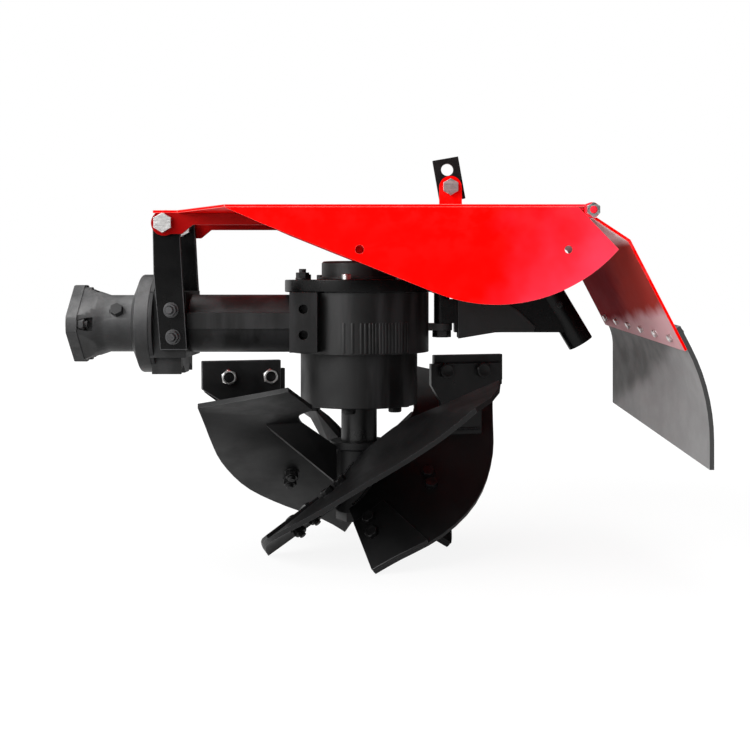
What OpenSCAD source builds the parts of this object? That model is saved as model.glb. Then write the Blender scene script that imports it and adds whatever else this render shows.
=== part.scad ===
// Rotary plough for a two-wheel tractor.
// Frame: origin at the centre of the drive flange's face, on the drive axis.
// +X runs back along the machine, +Y to its right side, +Z up. Millimetres.

/* [Drive flange and neck] */
// Distance from the drive axis to a corner of the square flange
flange_reach = 44; // [42:1:50]
// Half width of the square flange from side to side
flange_half = 37; // [36:0.5:40]
// Thickness of the square flange
flange_t = 12; // [10:1:16]
// Bolt circle of the four flange holes
flange_pcd = 70; // [68:1:72]
// Radius of a flange hole
flange_hole_r = 4.5; // [4:0.25:5]
// Radius of the centring recess in the flange face
register_r = 25; // [24:0.5:26]
// Depth of the centring recess
register_depth = 10; // [6:1:12]
// Outer radius of the neck
neck_r = 32.5; // [31:0.5:34]
// Inner radius of the neck
neck_bore_r = 22.5; // [22:0.5:24]
// Length of the open part of the neck
neck_bore_depth = 62; // [58:1:66]
// Place of the round flange's front face
round_flange_x = 78; // [76:1:82]
// Radius of the round flange
round_flange_r = 56; // [52:1:58]
// Thickness of the round flange
round_flange_t = 16; // [12:1:18]

/* [Input shaft] */
// Radius of the input shaft
input_r = 12.5; // [10:0.5:14]
// Radius of the claw coupling on the input shaft
claw_r = 17; // [15:0.5:17]
// Length of the claw coupling
claw_len = 24; // [18:1:28]
// Place of the coupling's front face
claw_x = 24; // [20:1:28]

/* [Beam and gearbox] */
// Distance from the drive flange to the rotor axis
rotor_x = 325; // [320:1:345]
// Radius of the round drive beam
beam_r = 33; // [30:0.5:34]
// Radius of the gearbox
box_r = 80; // [76:1:84]
// Height of the gearbox above the drive axis
box_top = 36; // [34:1:44]
// Depth of the gearbox below the drive axis
box_bottom = 32; // [31:1:34]
// Radius of the gearbox's top cover
cover_r = 85; // [80:1:88]
// Thickness of the top cover
cover_t = 14; // [10:1:16]
// Radius of the top bearing cap
cap_r = 43; // [36:1:46]
// Height of the top bearing cap
cap_h = 21; // [16:1:24]
// Half width of the clamp block that the straps are bolted to
block_half_w = 44; // [42:1:48]
// Half height of the clamp block
block_half_h = 37; // [35:1:40]
// Length of the clamp block along the beam
block_len = 40; // [38:1:44]
// Distance from the gearbox centre to a side pad's outer face
pad_reach = 84; // [82:1:88]
// Width of a side pad
pad_w = 30; // [28:1:34]
// Distance between a side pad's two holes
pad_hole_pitch = 28; // [24:1:34]
// Radius of a side pad's hole
pad_hole_r = 5; // [4:0.5:6]

/* [Straps] */
// Width of a strap
strap_w = 30; // [26:1:32]
// Thickness of a strap
strap_t = 6; // [5:0.5:8]
// Place of the hood pivot along the machine
pivot_x = 113; // [110:1:116]
// Height of the hood pivot
pivot_z = 112; // [104:1:116]
// Radius of a hood pivot bolt
pivot_r = 6; // [5:0.5:7]

/* [Rotor] */
// Radius of the rotor bearing housing
bearing_r = 67; // [64:1:72]
// Lower end of the rotor bearing housing, below the drive axis
bearing_bottom = 92; // [88:1:96]
// Radius of the rotor shaft
shaft_r = 20.5; // [18:0.5:22]
// Outer radius of the rotor hub
hub_r = 27; // [26:0.5:32]
// Upper end of the hub, below the drive axis
hub_top = 142; // [138:1:146]
// Lower end of the hub, below the drive axis
hub_bottom = 214; // [210:1:220]
// Depth of the blade tips below the drive axis
tip_depth = 261; // [240:1:300]
// Depth of the blades' highest corner below the drive axis
blade_top_depth = 62; // [60:1:66]
// Radius of the blades' outermost corner
blade_reach = 205; // [180:1:210]
// Thickness of a blade
blade_t = 5; // [4:0.5:7]
// Turn of the whole rotor about its axis
rotor_turn = 11; // [0:1:90]
// Depth of the knives' top edge below the drive axis
knife_top_depth = 39; // [38:1:44]
// Outer radius of a knife
knife_reach = 182; // [160:1:184]
// Inner radius of a knife
knife_inner = 95; // [88:1:100]
// Height of a knife
knife_h = 31; // [24:1:34]
// Thickness of a knife and of its lug
knife_t = 8; // [6:0.5:10]

/* [Hood] */
// Half width of the hood
hood_half_w = 155; // [140:1:175]
// Height of the hood's top face
hood_top = 126; // [124:1:132]
// Thickness of the hood's sheet
hood_t = 3; // [2:0.5:4]
// Half width of the hood's narrow front part
neck_half_w = 62; // [58:1:66]
// Where the hood's side plates begin
side_start_x = 194; // [188:1:200]
// Distance from the rotor axis to the rear end of the hood's top
hood_back = 231; // [215:1:255]
// Depth of the hood's side plates at their lowest point
side_depth = 102; // [90:1:106]
// Radius of the side plates' round lower edge
side_arc_r = 165; // [155:1:180]
// Slope of the side plates' front edge, in degrees
side_slope = 21.8; // [20:0.2:24]
// Turn of the flap's hinge seen from above, in degrees
hinge_turn = 3; // [0:0.5:5]

/* [Hanger] */
// Distance from the rotor axis back to the hanger's pivot
hanger_back = 105; // [75:1:125]
// Height of the hanger's pivot above the hood's top face
hanger_rise = 30; // [28:1:34]
// Width of the hanger plate
hanger_w = 30; // [24:1:32]
// Distance from the hanger's pivot to its free hole
hanger_arm = 21; // [18:1:30]
// Radius of the hanger's free hole
hanger_hole_r = 7; // [5:0.5:8]
// Lean of the hanger towards the front, in degrees
hanger_lean = 10; // [0:1:30]

/* [Flap] */
// Radius of the hinge's knuckles
knuckle_r = 8; // [7:0.5:9]
// Radius of the hinge's pin
hinge_pin_r = 4; // [3:0.5:5]
// Length of the flap's upper panel
flap_upper = 44; // [40:1:50]
// Length of the flap's lower panel
flap_lower = 126; // [110:1:140]
// Slope of the upper panel, in degrees
flap_upper_slope = 33; // [28:0.5:38]
// Slope of the lower panel, in degrees
flap_lower_slope = 62.4; // [58:0.2:68]
// Thickness of the rubber sheet
rubber_t = 5; // [4:0.5:8]
// Overlap of the rubber sheet on the panel
rubber_lap = 25; // [20:1:30]
// Height of the rubber sheet's hanging part
rubber_drop = 124; // [112:1:130]

/* [Rear arm] */
// Distance from the rotor axis to the rear arm's pin
arm_pin_reach = 95; // [93:1:100]
// Radius of the rear arm's pin
arm_pin_r = 6; // [5:0.5:7]
// Outer radius of the skid tube
tube_r = 15; // [13:0.5:16]
// Bore radius of the skid tube
tube_bore_r = 11; // [9:0.5:12]
// Length of the skid tube
tube_len = 90; // [80:1:100]
// Lean of the skid tube from upright, in degrees
tube_lean = 31; // [25:1:35]
// Distance from the arm's pin to the tube's lower end
arm_len = 160; // [150:1:170]

/* [Hidden] */
$fn = 64;

black = "#26272a";
grey = "#5c5e60";
red = "#d01410";
zinc = "#c8cacb";
rubber = "#4a4c4c";

gap = 0.3;      // clearance of faces that pass or meet on different bodies
fit = 0.05;     // radial clearance of a pin in its hole
eps = 1;        // overrun of a cutting tool

// Cylinder along +X, +Y or upright from a low to a high place
module rod_x(r, x0, x1) { translate([x0, 0, 0]) rotate([0, 90, 0]) cylinder(h = x1 - x0, r = r); }
module rod_y(r, y0, y1) { translate([0, y1, 0]) rotate([90, 0, 0]) cylinder(h = y1 - y0, r = r); }
module rod_z(r, z0, z1) { translate([0, 0, z0]) cylinder(h = z1 - z0, r = r); }
// Hexagon prism along +Y, by its width across flats
module hex_y(af, y0, y1) {
    translate([0, y1, 0]) rotate([90, 0, 0]) rotate(30) cylinder(h = y1 - y0, r = af / sqrt(3), $fn = 6);
}
module hex_z(af, z0, z1) { translate([0, 0, z0]) cylinder(h = z1 - z0, r = af / sqrt(3), $fn = 6); }
// Plate upright in the XZ plane between two places across the machine
module plate_y(y0, y1) {
    translate([0, y1, 0]) rotate([90, 0, 0]) linear_extrude(height = y1 - y0) children();
}
// Box by its two corners
module span(a, b) { translate(a) cube(b - a); }

// Drive flange and neck
neck_cone_len = 28;
neck_cone_x = flange_t + neck_cone_len;
web_t = 7;
web_x = round_flange_x - web_t;
neck_flare_r = flange_reach - 2;
nut_pocket_r = 8;
nut_pocket_len = 16;
neck_end_x = round_flange_x + round_flange_t;

module drive_flange_neck() color(grey) difference() {
    union() {
        intersection() {
            rotate([45, 0, 0]) span([0, -flange_half, -flange_half], [flange_t, flange_half, flange_half]);
            rod_x(flange_reach, -eps, flange_t + eps);
        }
        intersection() {
            rotate([45, 0, 0]) span([0, 1 - flange_half, 1 - flange_half],
                [neck_cone_x + eps, flange_half - 1, flange_half - 1]);
            translate([flange_t, 0, 0]) rotate([0, 90, 0])
                cylinder(h = neck_cone_x - flange_t, r1 = neck_flare_r, r2 = neck_r);
        }
        rod_x(neck_r, neck_cone_x, web_x);
    }
    on_plug_seat() rod_y(9, -10, 0);
    rod_x(neck_bore_r, -eps, neck_bore_depth);
    rod_x(register_r, -eps, register_depth);
    rod_x(input_r + fit, 0, web_x + eps);
    for (a = [0:90:270]) rotate([a, 0, 0]) translate([0, flange_pcd / 2, 0]) {
        rod_x(flange_hole_r, -eps, flange_t + eps);
        rod_x(nut_pocket_r, flange_t - 1, flange_t + nut_pocket_len);
    }
}

module round_flange() color(grey) difference() {
    union() {
        translate([web_x, 0, 0]) rotate([0, 90, 0])
            cylinder(h = round_flange_x - web_x, r1 = neck_r + 6, r2 = round_flange_r - 2);
        rod_x(round_flange_r, round_flange_x, neck_end_x);
    }
    rod_x(input_r + fit, web_x - eps, neck_end_x + eps);
}

// Frame of the neck's plug: origin on its seat, the plug standing out along -Y
plug_x = neck_cone_x + 14;
plug_turn = 27;
plug_flats = 13;
plug_h = 8;
module on_plug_seat() {
    translate([plug_x, 0, 0]) rotate([-plug_turn, 0, 0]) translate([0, 1 - neck_r, 0]) children();
}
module neck_plug() color(black) on_plug_seat() hex_y(plug_flats, -plug_h, 0);

claw_slot_w = 9;
claw_slot_depth = 11;
claw_bore_r = 5;
claw_bore_depth = 16;
input_tail = 14;
module input_claw_shaft() color(zinc) {
    difference() {
        union() {
            rod_x(claw_r, claw_x, claw_x + claw_len);
            rod_x(input_r, claw_x, neck_end_x + input_tail);
        }
        span([claw_x - eps, -claw_r - eps, -claw_slot_w / 2],
            [claw_x + claw_slot_depth, claw_r + eps, claw_slot_w / 2]);
        rod_x(claw_bore_r, claw_x - eps, claw_x + claw_bore_depth);
    }
}

// Beam and gearbox
block_end_x = neck_end_x + block_len;
seal_disc_t = 4;
pad_x = rotor_x - 57;
pad_root = 40;
pad_hole_z = 4;
pad_hole_depth = 22;
pad_top = box_top;
pad_bottom = box_bottom - 3;
arm_x = rotor_x + arm_pin_reach;
lug_w = 24;
lug_up = [box_top + 4, box_top + cover_t];
lug_low = [-8, 0];
rib_top = 13;
rib_bottom = -5;
foot_lug_half_w = 34;
foot_lug_end = neck_end_x + 33;
foot_hole_y = 22;
foot_hole_r = 9;
foot_hole_x = neck_end_x + 12;
input_pocket = 16;
rib_out = 5;

module rear_lug(z) difference() {
    union() {
        span([rotor_x + box_r / 2, -lug_w / 2, z[0]], [arm_x, lug_w / 2, z[1]]);
        translate([arm_x, 0, 0]) rod_z(lug_w / 2, z[0], z[1]);
    }
    translate([arm_x, 0, 0]) rod_z(arm_pin_r + fit, z[0] - eps, z[1] + eps);
}

module gearbox_casting() color(black) difference() {
    union() {
        rod_x(round_flange_r, neck_end_x, neck_end_x + seal_disc_t);
        span([neck_end_x, -block_half_w, -block_half_h], [block_end_x, block_half_w, block_half_h]);
        span([neck_end_x, -foot_lug_half_w, -round_flange_r], [foot_lug_end, foot_lug_half_w, 0]);
        rod_x(beam_r, neck_end_x, rotor_x - bearing_r - 2);
        span([block_end_x - eps, -beam_r - rib_out, rib_bottom],
            [rotor_x - box_r / 2, beam_r + rib_out, rib_top]);
        translate([rotor_x, 0, 0]) rod_z(box_r, -box_bottom, box_top);
        for (side = [-1, 1])
            translate([pad_x, side * (pad_reach + pad_root) / 2, (pad_top - pad_bottom) / 2])
                cube([pad_w, pad_reach - pad_root, pad_top + pad_bottom], center = true);
        rear_lug(lug_low);
    }
    rod_x(input_r + fit, neck_end_x - eps, neck_end_x + input_pocket);
    for (z = [-1, 1] * pad_hole_pitch / 2) translate([pad_x, 0, pad_hole_z + z])
        rod_y(pad_hole_r, -pad_reach - eps, -pad_reach + pad_hole_depth);
    for (side = [-1, 1]) translate([0, side * foot_hole_y, -round_flange_r])
        rod_x(foot_hole_r, foot_hole_x, foot_lug_end + eps);
}

module top_cover() color(black) {
    translate([rotor_x, 0, 0]) rod_z(cover_r, box_top, box_top + cover_t);
    rear_lug(lug_up);
}

cap_z = box_top + cover_t;
module top_bearing_cap() color(black) translate([rotor_x, 0, cap_z]) {
    cylinder(h = 3, r = cap_r + 4);
    cylinder(h = cap_h - 2, r = cap_r);
    translate([0, 0, cap_h - 2]) cylinder(h = 2, r1 = cap_r, r2 = cap_r - 2);
}

module filler_plug() color(black) translate([rotor_x - 62, -36, cap_z]) {
    rod_z(8, 0, 2);
    hex_z(13, 2, 8);
    rod_z(4, 8, 12);
}

module rotor_bearing_housing() color(black) translate([rotor_x, 0, 0]) difference() {
    rod_z(bearing_r, -bearing_bottom, -box_bottom);
    rod_z(shaft_r + fit, -bearing_bottom - eps, -box_bottom + eps);
}

arm_nut_h = 8;
arm_nut_flats = 19;
module arm_pin() color(black) translate([arm_x, 0, 0]) {
    rod_z(arm_pin_r, lug_low[0], lug_up[1]);
    hex_z(arm_nut_flats, lug_up[1], lug_up[1] + arm_nut_h);
    hex_z(arm_nut_flats, lug_low[0] - arm_nut_h, lug_low[0]);
}

// Straps and hood pivots
strap_foot_x = 121.5;
strap_foot_z = -28;
strap_in = block_half_w;
strap_out = strap_in + strap_t;

module strap_outline() difference() {
    union() {
        polygon([[strap_foot_x - strap_w / 2, strap_foot_z], [strap_foot_x + strap_w / 2, strap_foot_z],
            [pivot_x + strap_w / 2 + 3, block_half_h + 20], [pivot_x + strap_w / 2, pivot_z],
            [pivot_x - strap_w / 2, pivot_z], [pivot_x - strap_w / 2 + 1, block_half_h + 20]]);
        translate([pivot_x, pivot_z]) circle(r = strap_w / 2);
    }
    translate([pivot_x, pivot_z]) circle(r = pivot_r + fit);
}

module left_strap() color(black) plate_y(-strap_out, -strap_in) strap_outline();
module right_strap() color(black) plate_y(strap_in, strap_out) strap_outline();

ear_in = neck_half_w - 4;
bolt_head_t = 8;
bolt_nut_t = 7;
bolt_flats = 19;
bolt_spacer_r = 9;
module hood_pivot_bolt() translate([pivot_x, 0, pivot_z]) {
    rod_y(pivot_r, -neck_half_w - gap - 2, -strap_in + 2);
    rod_y(bolt_spacer_r, -ear_in + gap, -strap_out);
    hex_y(bolt_flats, -neck_half_w - gap - bolt_head_t, -neck_half_w - gap);
    hex_y(bolt_flats, -strap_in, -strap_in + bolt_nut_t);
}
module left_hood_pivot_bolt() color(zinc) hood_pivot_bolt();
module right_hood_pivot_bolt() color(zinc) mirror([0, 1, 0]) hood_pivot_bolt();

// Rotor
// Blade stations from the cutting edge to the upper end. Each row holds, for the inner and then
// the outer edge: angle past the tip, reach (0 hub, 1 blade_reach), rise (0 tip, 1 blade top).
STATIONS = [
    [-30, 0.00, 0.26, 0, 0.44, 0.00],
    [0, 0.00, 0.32, 14, 0.49, 0.08],
    [30, 0.00, 0.40, 36, 0.56, 0.18],
    [60, 0.00, 0.48, 60, 0.63, 0.32],
    [85, 0.03, 0.56, 80, 0.70, 0.48],
    [104, 0.13, 0.65, 98, 0.79, 0.64],
    [118, 0.30, 0.77, 109, 0.89, 0.77],
    [133, 0.43, 0.84, 116, 1.00, 0.90],
    [146, 0.50, 0.88, 146, 0.80, 1.00]];
SUBSTEPS = 3;
COLS = 4;
last = len(STATIONS) - 1;
rows = last * SUBSTEPS;
blades = 4;
blade_step = 360 / blades;

function mix(a, b, t) = a + (b - a) * t;
function curve(a, b, c, d, t) = 0.5 * (2 * b + (c - a) * t + (2 * a - 5 * b + 4 * c - d) * t * t
    + (3 * b - a - 3 * c + d) * t * t * t);
// Station at row k; the last span stays straight, as the upper end is cut straight
function station(k) = let (i = min(floor(k / SUBSTEPS), last - 1), t = k / SUBSTEPS - i)
    i == last - 1 ? mix(STATIONS[i], STATIONS[i + 1], t)
    : curve(STATIONS[max(i - 1, 0)], STATIONS[i], STATIONS[i + 1], STATIONS[min(i + 2, last - 1)], t);
function edge_point(angle, reach, rise) = let (r = mix(hub_r, blade_reach, reach))
    [r * cos(angle), r * sin(angle), mix(-tip_depth, -blade_top_depth, rise)];
function ruled(k, u) = let (s = station(k))
    mix(edge_point(s[0], s[1], s[2]), edge_point(s[3], s[4], s[5]), u);
function unit(v) = v / norm(v);
function normal_at(k, u) = unit(cross(ruled(k, min(u + 0.05, 1)) - ruled(k, max(u - 0.05, 0)),
    ruled(min(k + 1, rows), u) - ruled(max(k - 1, 0), u)));
function skin(k, u, h) = ruled(k, u) + normal_at(k, u) * h;

// Closed sheet between two grids of points, of nk rows by nj columns
module shell(low, high, nk, nj) {
    function at(k, j, side) = side * nk * nj + k * nj + j;
    faces = concat(
        [for (k = [0:nk - 2]) for (j = [0:nj - 2]) each [
            [at(k, j, 0), at(k, j + 1, 0), at(k + 1, j + 1, 0)],
            [at(k, j, 0), at(k + 1, j + 1, 0), at(k + 1, j, 0)],
            [at(k, j, 1), at(k + 1, j + 1, 1), at(k, j + 1, 1)],
            [at(k, j, 1), at(k + 1, j, 1), at(k + 1, j + 1, 1)]]],
        [for (k = [0:nk - 2]) for (j = [0, nj - 1]) each side_faces(at(k, j, 0), at(k + 1, j, 0),
            at(k + 1, j, 1), at(k, j, 1), j == 0)],
        [for (j = [0:nj - 2]) for (k = [0, nk - 1]) each side_faces(at(k, j, 0), at(k, j + 1, 0),
            at(k, j + 1, 1), at(k, j, 1), k > 0)]);
    polyhedron(points = concat(low, high), faces = faces);
}
// Sheet that follows the blade's face between two rows, two columns and two heights
module patch(k0, k1, j0, j1, low, high)
    shell([for (k = [k0:k1]) for (j = [j0:j1]) skin(k, j / COLS, low)],
        [for (k = [k0:k1]) for (j = [j0:j1]) skin(k, j / COLS, high)], k1 - k0 + 1, j1 - j0 + 1);
function side_faces(a, b, c, d, flip) = flip ? [[a, b, c], [a, c, d]] : [[a, c, b], [a, d, c]];

module on_blade(i) translate([rotor_x, 0, 0]) rotate(rotor_turn + i * blade_step) children();
module hub_body() rod_z(hub_r, -hub_bottom, -hub_top);
module blade(i) on_blade(i) difference() {
    patch(0, rows, 0, COLS, -blade_t / 2, blade_t / 2);
    rod_z(hub_r, -hub_bottom - 60, -hub_top + 60);
}
module blade_1() color(black) blade(0);
module blade_2() color(grey) blade(1);
module blade_3() color(black) blade(2);
module blade_4() color(black) blade(3);

share_t = 4;
share_rows = 5;
module share_points() color(black) for (i = [0:blades - 1]) on_blade(i)
    patch(0, share_rows, 1, COLS, blade_t / 2, blade_t / 2 + share_t);

module rotor_shaft() color(grey) translate([rotor_x, 0, 0]) {
    rod_z(shaft_r, -hub_bottom, -box_bottom - 2);
    hex_z(46, -hub_bottom - 10, -hub_bottom);
}

hub_collar_h = 8;
hub_collar_r = hub_r + 6;
module rotor_hub() color(black) translate([rotor_x, 0, 0]) difference() {
    union() {
        hub_body();
        rod_z(hub_collar_r, -hub_top, -hub_top + hub_collar_h);
    }
    rod_z(shaft_r + fit, -hub_bottom - eps, -hub_top + hub_collar_h + eps);
}

// Stay: a web under each blade, from the hub out to the blade's upper part
stay_row = 6 * SUBSTEPS;
stay_t = 8;
sliver = 9;     // reach of a cut past the blade, so that nothing is left beyond it
module stay() {
    a = ruled(stay_row, 0);
    b = ruled(stay_row, 0.4);
    dir = unit([b[0], b[1]]);
    foot = dir * hub_r;
    side = [-dir[1], dir[0], 0] * stay_t / 2;
    corners = [a, b, [foot[0], foot[1], -hub_bottom + 30], [foot[0], foot[1], -hub_top]];
    points = concat([for (c = corners) c - side], [for (c = corners) c + side]);
    polyhedron(points = points, faces = [[0, 1, 2], [0, 2, 3], [4, 6, 5], [4, 7, 6], [0, 4, 5], [0, 5, 1],
        [1, 5, 6], [1, 6, 2], [2, 6, 7], [2, 7, 3], [3, 7, 4], [3, 4, 0]]);
}
module blade_stays() color(black) for (i = [0:blades - 1]) on_blade(i) difference() {
    stay();
    patch(0, rows, 0, COLS, -blade_t / 2, sliver);
    rod_z(hub_collar_r, -hub_bottom - eps, -hub_top + hub_collar_h);
}

// Knives: two upright plates on opposite blades, each bolted to a lug that follows a blade's ruling
knife_row = 5 * SUBSTEPS;
knife_blades = [1, 3];
module on_ruling() {
    a = ruled(knife_row, 0);
    b = ruled(knife_row, 1);
    translate([a[0], a[1], 0]) rotate(atan2(b[1] - a[1], b[0] - a[0]))
        translate([-norm([a[0], a[1]]), 0, 0]) children();
}
lug_inner = knife_inner - 6;
lug_outer = knife_reach - 4;
lug_top = -knife_top_depth - 10;
lug_foot = ruled(knife_row, 0.5)[2];
lug_shoulder = lug_top - 25;
lug_neck = lug_top - 45;
module knife_lugs() color(black) for (i = knife_blades) on_blade(i) difference() {
    on_ruling() plate_y(-knife_t / 2, knife_t / 2) polygon([[lug_inner, lug_top], [lug_outer, lug_top],
        [lug_outer, lug_shoulder], [lug_outer - 26, lug_neck], [lug_outer - 26, lug_foot],
        [lug_inner + 12, lug_foot], [lug_inner + 12, lug_neck], [lug_inner, lug_shoulder]]);
    patch(0, rows, 0, COLS, -sliver, blade_t / 2);
}
knife_edge = -knife_top_depth - knife_h;
knife_bevel = 13;
module knives() color(black) for (i = knife_blades) on_blade(i)
    on_ruling() plate_y(knife_t / 2, knife_t * 1.5) polygon([[knife_inner, -knife_top_depth],
        [knife_reach, -knife_top_depth], [knife_reach, knife_edge],
        [knife_reach - 20, knife_edge - knife_bevel], [knife_inner, knife_edge - knife_bevel]]);

// Hood
hood_in = hood_top - hood_t;
hood_end_x = rotor_x + hood_back;
hinge_x = hood_end_x + knuckle_r + 3;
hinge_z = hood_top - 6;
side_rear_x = hood_end_x + 38;
hinge_len = 2 * hood_half_w;
hinge_shift = hinge_len * tan(hinge_turn);
// Frame of the hinge: origin at its left end, +Y along the pin
module on_hinge() translate([hinge_x, -hood_half_w, hinge_z]) rotate(hinge_turn) children();

arc_z = hood_top - side_depth + side_arc_r;
arc_back = 145;
arc_x = rotor_x + arc_back;
arc_start = [arc_x - side_arc_r * sin(side_slope), arc_z - side_arc_r * cos(side_slope)];
side_front_z = hood_in - 16;
side_front = [arc_start[0] - (side_front_z - arc_start[1]) / tan(side_slope), side_front_z];
side_rear = [side_rear_x, arc_z - sqrt(pow(side_arc_r, 2) - pow(side_rear_x - arc_x, 2))];
side_top = [hood_end_x - 3, hood_in];
side_cut = 500;
// Holes of the side plates: place along the machine, height, radius
side_holes = [[rotor_x + 6, 80, 4.5], [hood_end_x - 13, 80, 4]];

module side_outline(back) difference() {
    union() {
        translate([arc_x, arc_z]) circle(r = side_arc_r);
        polygon([[side_start_x, hood_in], side_front, arc_start, [arc_x, hood_in]]);
    }
    translate([side_start_x - 10, hood_in]) square([side_cut, side_cut]);
    translate([back, 0]) polygon([mix(side_top, side_rear, -1), mix(side_top, side_rear, 3),
        [side_top[0] + side_cut, -side_cut], [side_top[0] + side_cut, side_cut]]);
    for (h = side_holes) translate([h[0], h[1]]) circle(r = h[2]);
}

module left_side_plate() color(red) plate_y(-hood_half_w, -hood_half_w + hood_t) side_outline(0);
module right_side_plate() color(red) plate_y(hood_half_w - hood_t, hood_half_w) side_outline(-hinge_shift);

neck_front_x = pivot_x - 12;
notch_x = pivot_x + strap_w / 2 + 6;
notch_half_w = strap_out + 4;
taper_x = pivot_x + 15;
module hood_plan() difference() {
    polygon([[neck_front_x, -neck_half_w], [taper_x, -neck_half_w], [side_start_x, -hood_half_w],
        [hinge_x, -hood_half_w], [hinge_x - hinge_shift, hood_half_w], [side_start_x, hood_half_w],
        [taper_x, neck_half_w], [neck_front_x, neck_half_w]]);
    translate([neck_front_x - eps, -notch_half_w]) square([notch_x - neck_front_x + eps, 2 * notch_half_w]);
}
module hood_top_plate() color(red) difference() {
    translate([0, 0, hood_in]) linear_extrude(height = hood_t) hood_plan();
    on_hinge() rod_y(knuckle_r + gap, -30, hinge_len + 30);
}

ear_end_x = rotor_x - 25;
ear_r = 14;
ear_foot_z = pivot_z - 12;
ear_low_z = hood_in - 13;
module ear_arm(y0, y1) difference() {
    union() {
        translate([pivot_x, 0, pivot_z]) rod_y(ear_r, y0, y1);
        plate_y(y0, y1) polygon([[pivot_x + 1, hood_in + 3], [ear_end_x, hood_in + 3],
            [ear_end_x, ear_low_z], [pivot_x + 32, ear_low_z], [pivot_x + 20, ear_foot_z],
            [pivot_x + 3, ear_foot_z]]);
    }
    span([0, y0 - eps, hood_in], [2 * ear_end_x, y1 + eps, hood_in + 20]);
    translate([pivot_x, 0, pivot_z]) rod_y(pivot_r + fit, y0 - eps, y1 + eps);
}
module left_ear_arm() color(red) ear_arm(-neck_half_w, -ear_in);
module right_ear_arm() color(red) ear_arm(ear_in, neck_half_w);

hanger_x = rotor_x + hanger_back;
hanger_z = hood_top + hanger_rise;
hanger_t = 6;
hanger_bolt_r = 5;
hanger_flats = 17;
hanger_lug_r = 13;
module hanger_lug() color(red) difference() {
    plate_y(-hanger_t, 0) {
        translate([hanger_x, hanger_z]) circle(r = hanger_lug_r);
        translate([hanger_x - hanger_lug_r, hood_top]) square([2 * hanger_lug_r, hanger_rise]);
    }
    translate([hanger_x, 0, hanger_z]) rod_y(hanger_bolt_r, -hanger_t - eps, eps);
}

module hanger_bolt() color(zinc) translate([hanger_x, 0, hanger_z]) {
    rod_y(hanger_bolt_r, -hanger_t - 2, hanger_t + 2 * gap + 2);
    hex_y(hanger_flats, -hanger_t - 7, -hanger_t);
    hex_y(hanger_flats, hanger_t + 2 * gap, hanger_t + 2 * gap + 8);
}

module hanger_plate() color(black) translate([hanger_x, 0, hanger_z])
    rotate([0, -hanger_lean, 0]) difference() {
    span([-hanger_w / 2, gap, -15], [hanger_w / 2, gap + hanger_t, hanger_arm + 13]);
    rod_y(hanger_bolt_r + fit, 0, hanger_t + 1);
    translate([0, 0, hanger_arm]) rod_y(hanger_hole_r, 0, hanger_t + 1);
}

// Hinge and flap
knuckle_gap = 0.5;
// Knuckles of the hood and of the flap: start and end along the hinge
HOOD_KNUCKLES = [[0, 0.2], [0.4, 0.6], [0.8, 1]];
FLAP_KNUCKLES = [[0.2, 0.4], [0.6, 0.8]];

module hood_knuckles() color(red) on_hinge() for (k = HOOD_KNUCKLES) difference() {
    union() {
        rod_y(knuckle_r, k[0] * hinge_len, k[1] * hinge_len);
        span([-knuckle_r - 16, k[0] * hinge_len, hood_in - hinge_z - 3],
            [-3, k[1] * hinge_len, hood_in - hinge_z]);
    }
    rod_y(hinge_pin_r + fit, -eps, hinge_len + eps);
    if (k[0] == 0) span([-40, -eps, -40], [-knuckle_r, hood_t + 2, 40]);
    if (k[1] == 1) span([-40, hinge_len - hood_t - 2, -40], [-knuckle_r, hinge_len + eps, 40]);
}

pin_nut_flats = 13;
pin_nut_h = 7;
module hinge_pin() color(zinc) on_hinge() {
    rod_y(hinge_pin_r, -2, hinge_len + 2);
    hex_y(pin_nut_flats, -pin_nut_h, 0);
    hex_y(pin_nut_flats, hinge_len, hinge_len + pin_nut_h);
}

flap_t = hood_t;
flap_climb = 18;
plate_top = [1, -knuckle_r + flap_t / 2 - 0.5];
function along(a, len) = len * [cos(a), -sin(a)];
bend = plate_top + along(flap_upper_slope, flap_upper);
flap_end = bend + along(flap_lower_slope, flap_lower);
module strip(a, b, t) translate(a) rotate(atan2(b[1] - a[1], b[0] - a[0]))
    translate([0, -t / 2]) square([norm(b - a), t]);

module flap_panel() color(red) on_hinge() difference() {
    union() {
        difference() {
            plate_y(0, hinge_len) {
                strip(plate_top, bend, flap_t);
                translate(bend) circle(r = flap_t / 2);
                strip(bend, flap_end, flap_t);
            }
            for (k = HOOD_KNUCKLES) rod_y(knuckle_r + knuckle_gap, k[0] * hinge_len - eps,
                k[1] * hinge_len + knuckle_gap);
            for (k = HOOD_KNUCKLES) rod_y(knuckle_r + knuckle_gap, k[0] * hinge_len - knuckle_gap,
                k[1] * hinge_len);
        }
        for (k = FLAP_KNUCKLES)
            rod_y(knuckle_r, k[0] * hinge_len + knuckle_gap, k[1] * hinge_len - knuckle_gap);
    }
    rod_y(hinge_pin_r + fit, -eps, hinge_len + eps);
    slant_cut(flap_end, flap_lower_slope, flap_climb);
}

// Removes what lies past a line that starts at a point and climbs by a given amount to the far side
module slant_cut(at, slope, climb) translate([at[0], 0, at[1]]) rotate([0, slope, 0])
    rotate(atan(climb / hinge_len)) span([0, -20, -40], [90, hinge_len + 30, 40]);

flap_out = [sin(flap_lower_slope), cos(flap_lower_slope)];
rubber_bend = flap_end + ((flap_t + rubber_t) / 2 + fit) * flap_out;
// Radius of the sheet's curl at its near and far side, and how much shorter its far side hangs
rubber_curl = [205, 60];
rubber_slant = 37;
RUBBER_ARCS = 7;
RUBBER_COLS = 6;
rubber_turn = 90 - flap_lower_slope;
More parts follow.
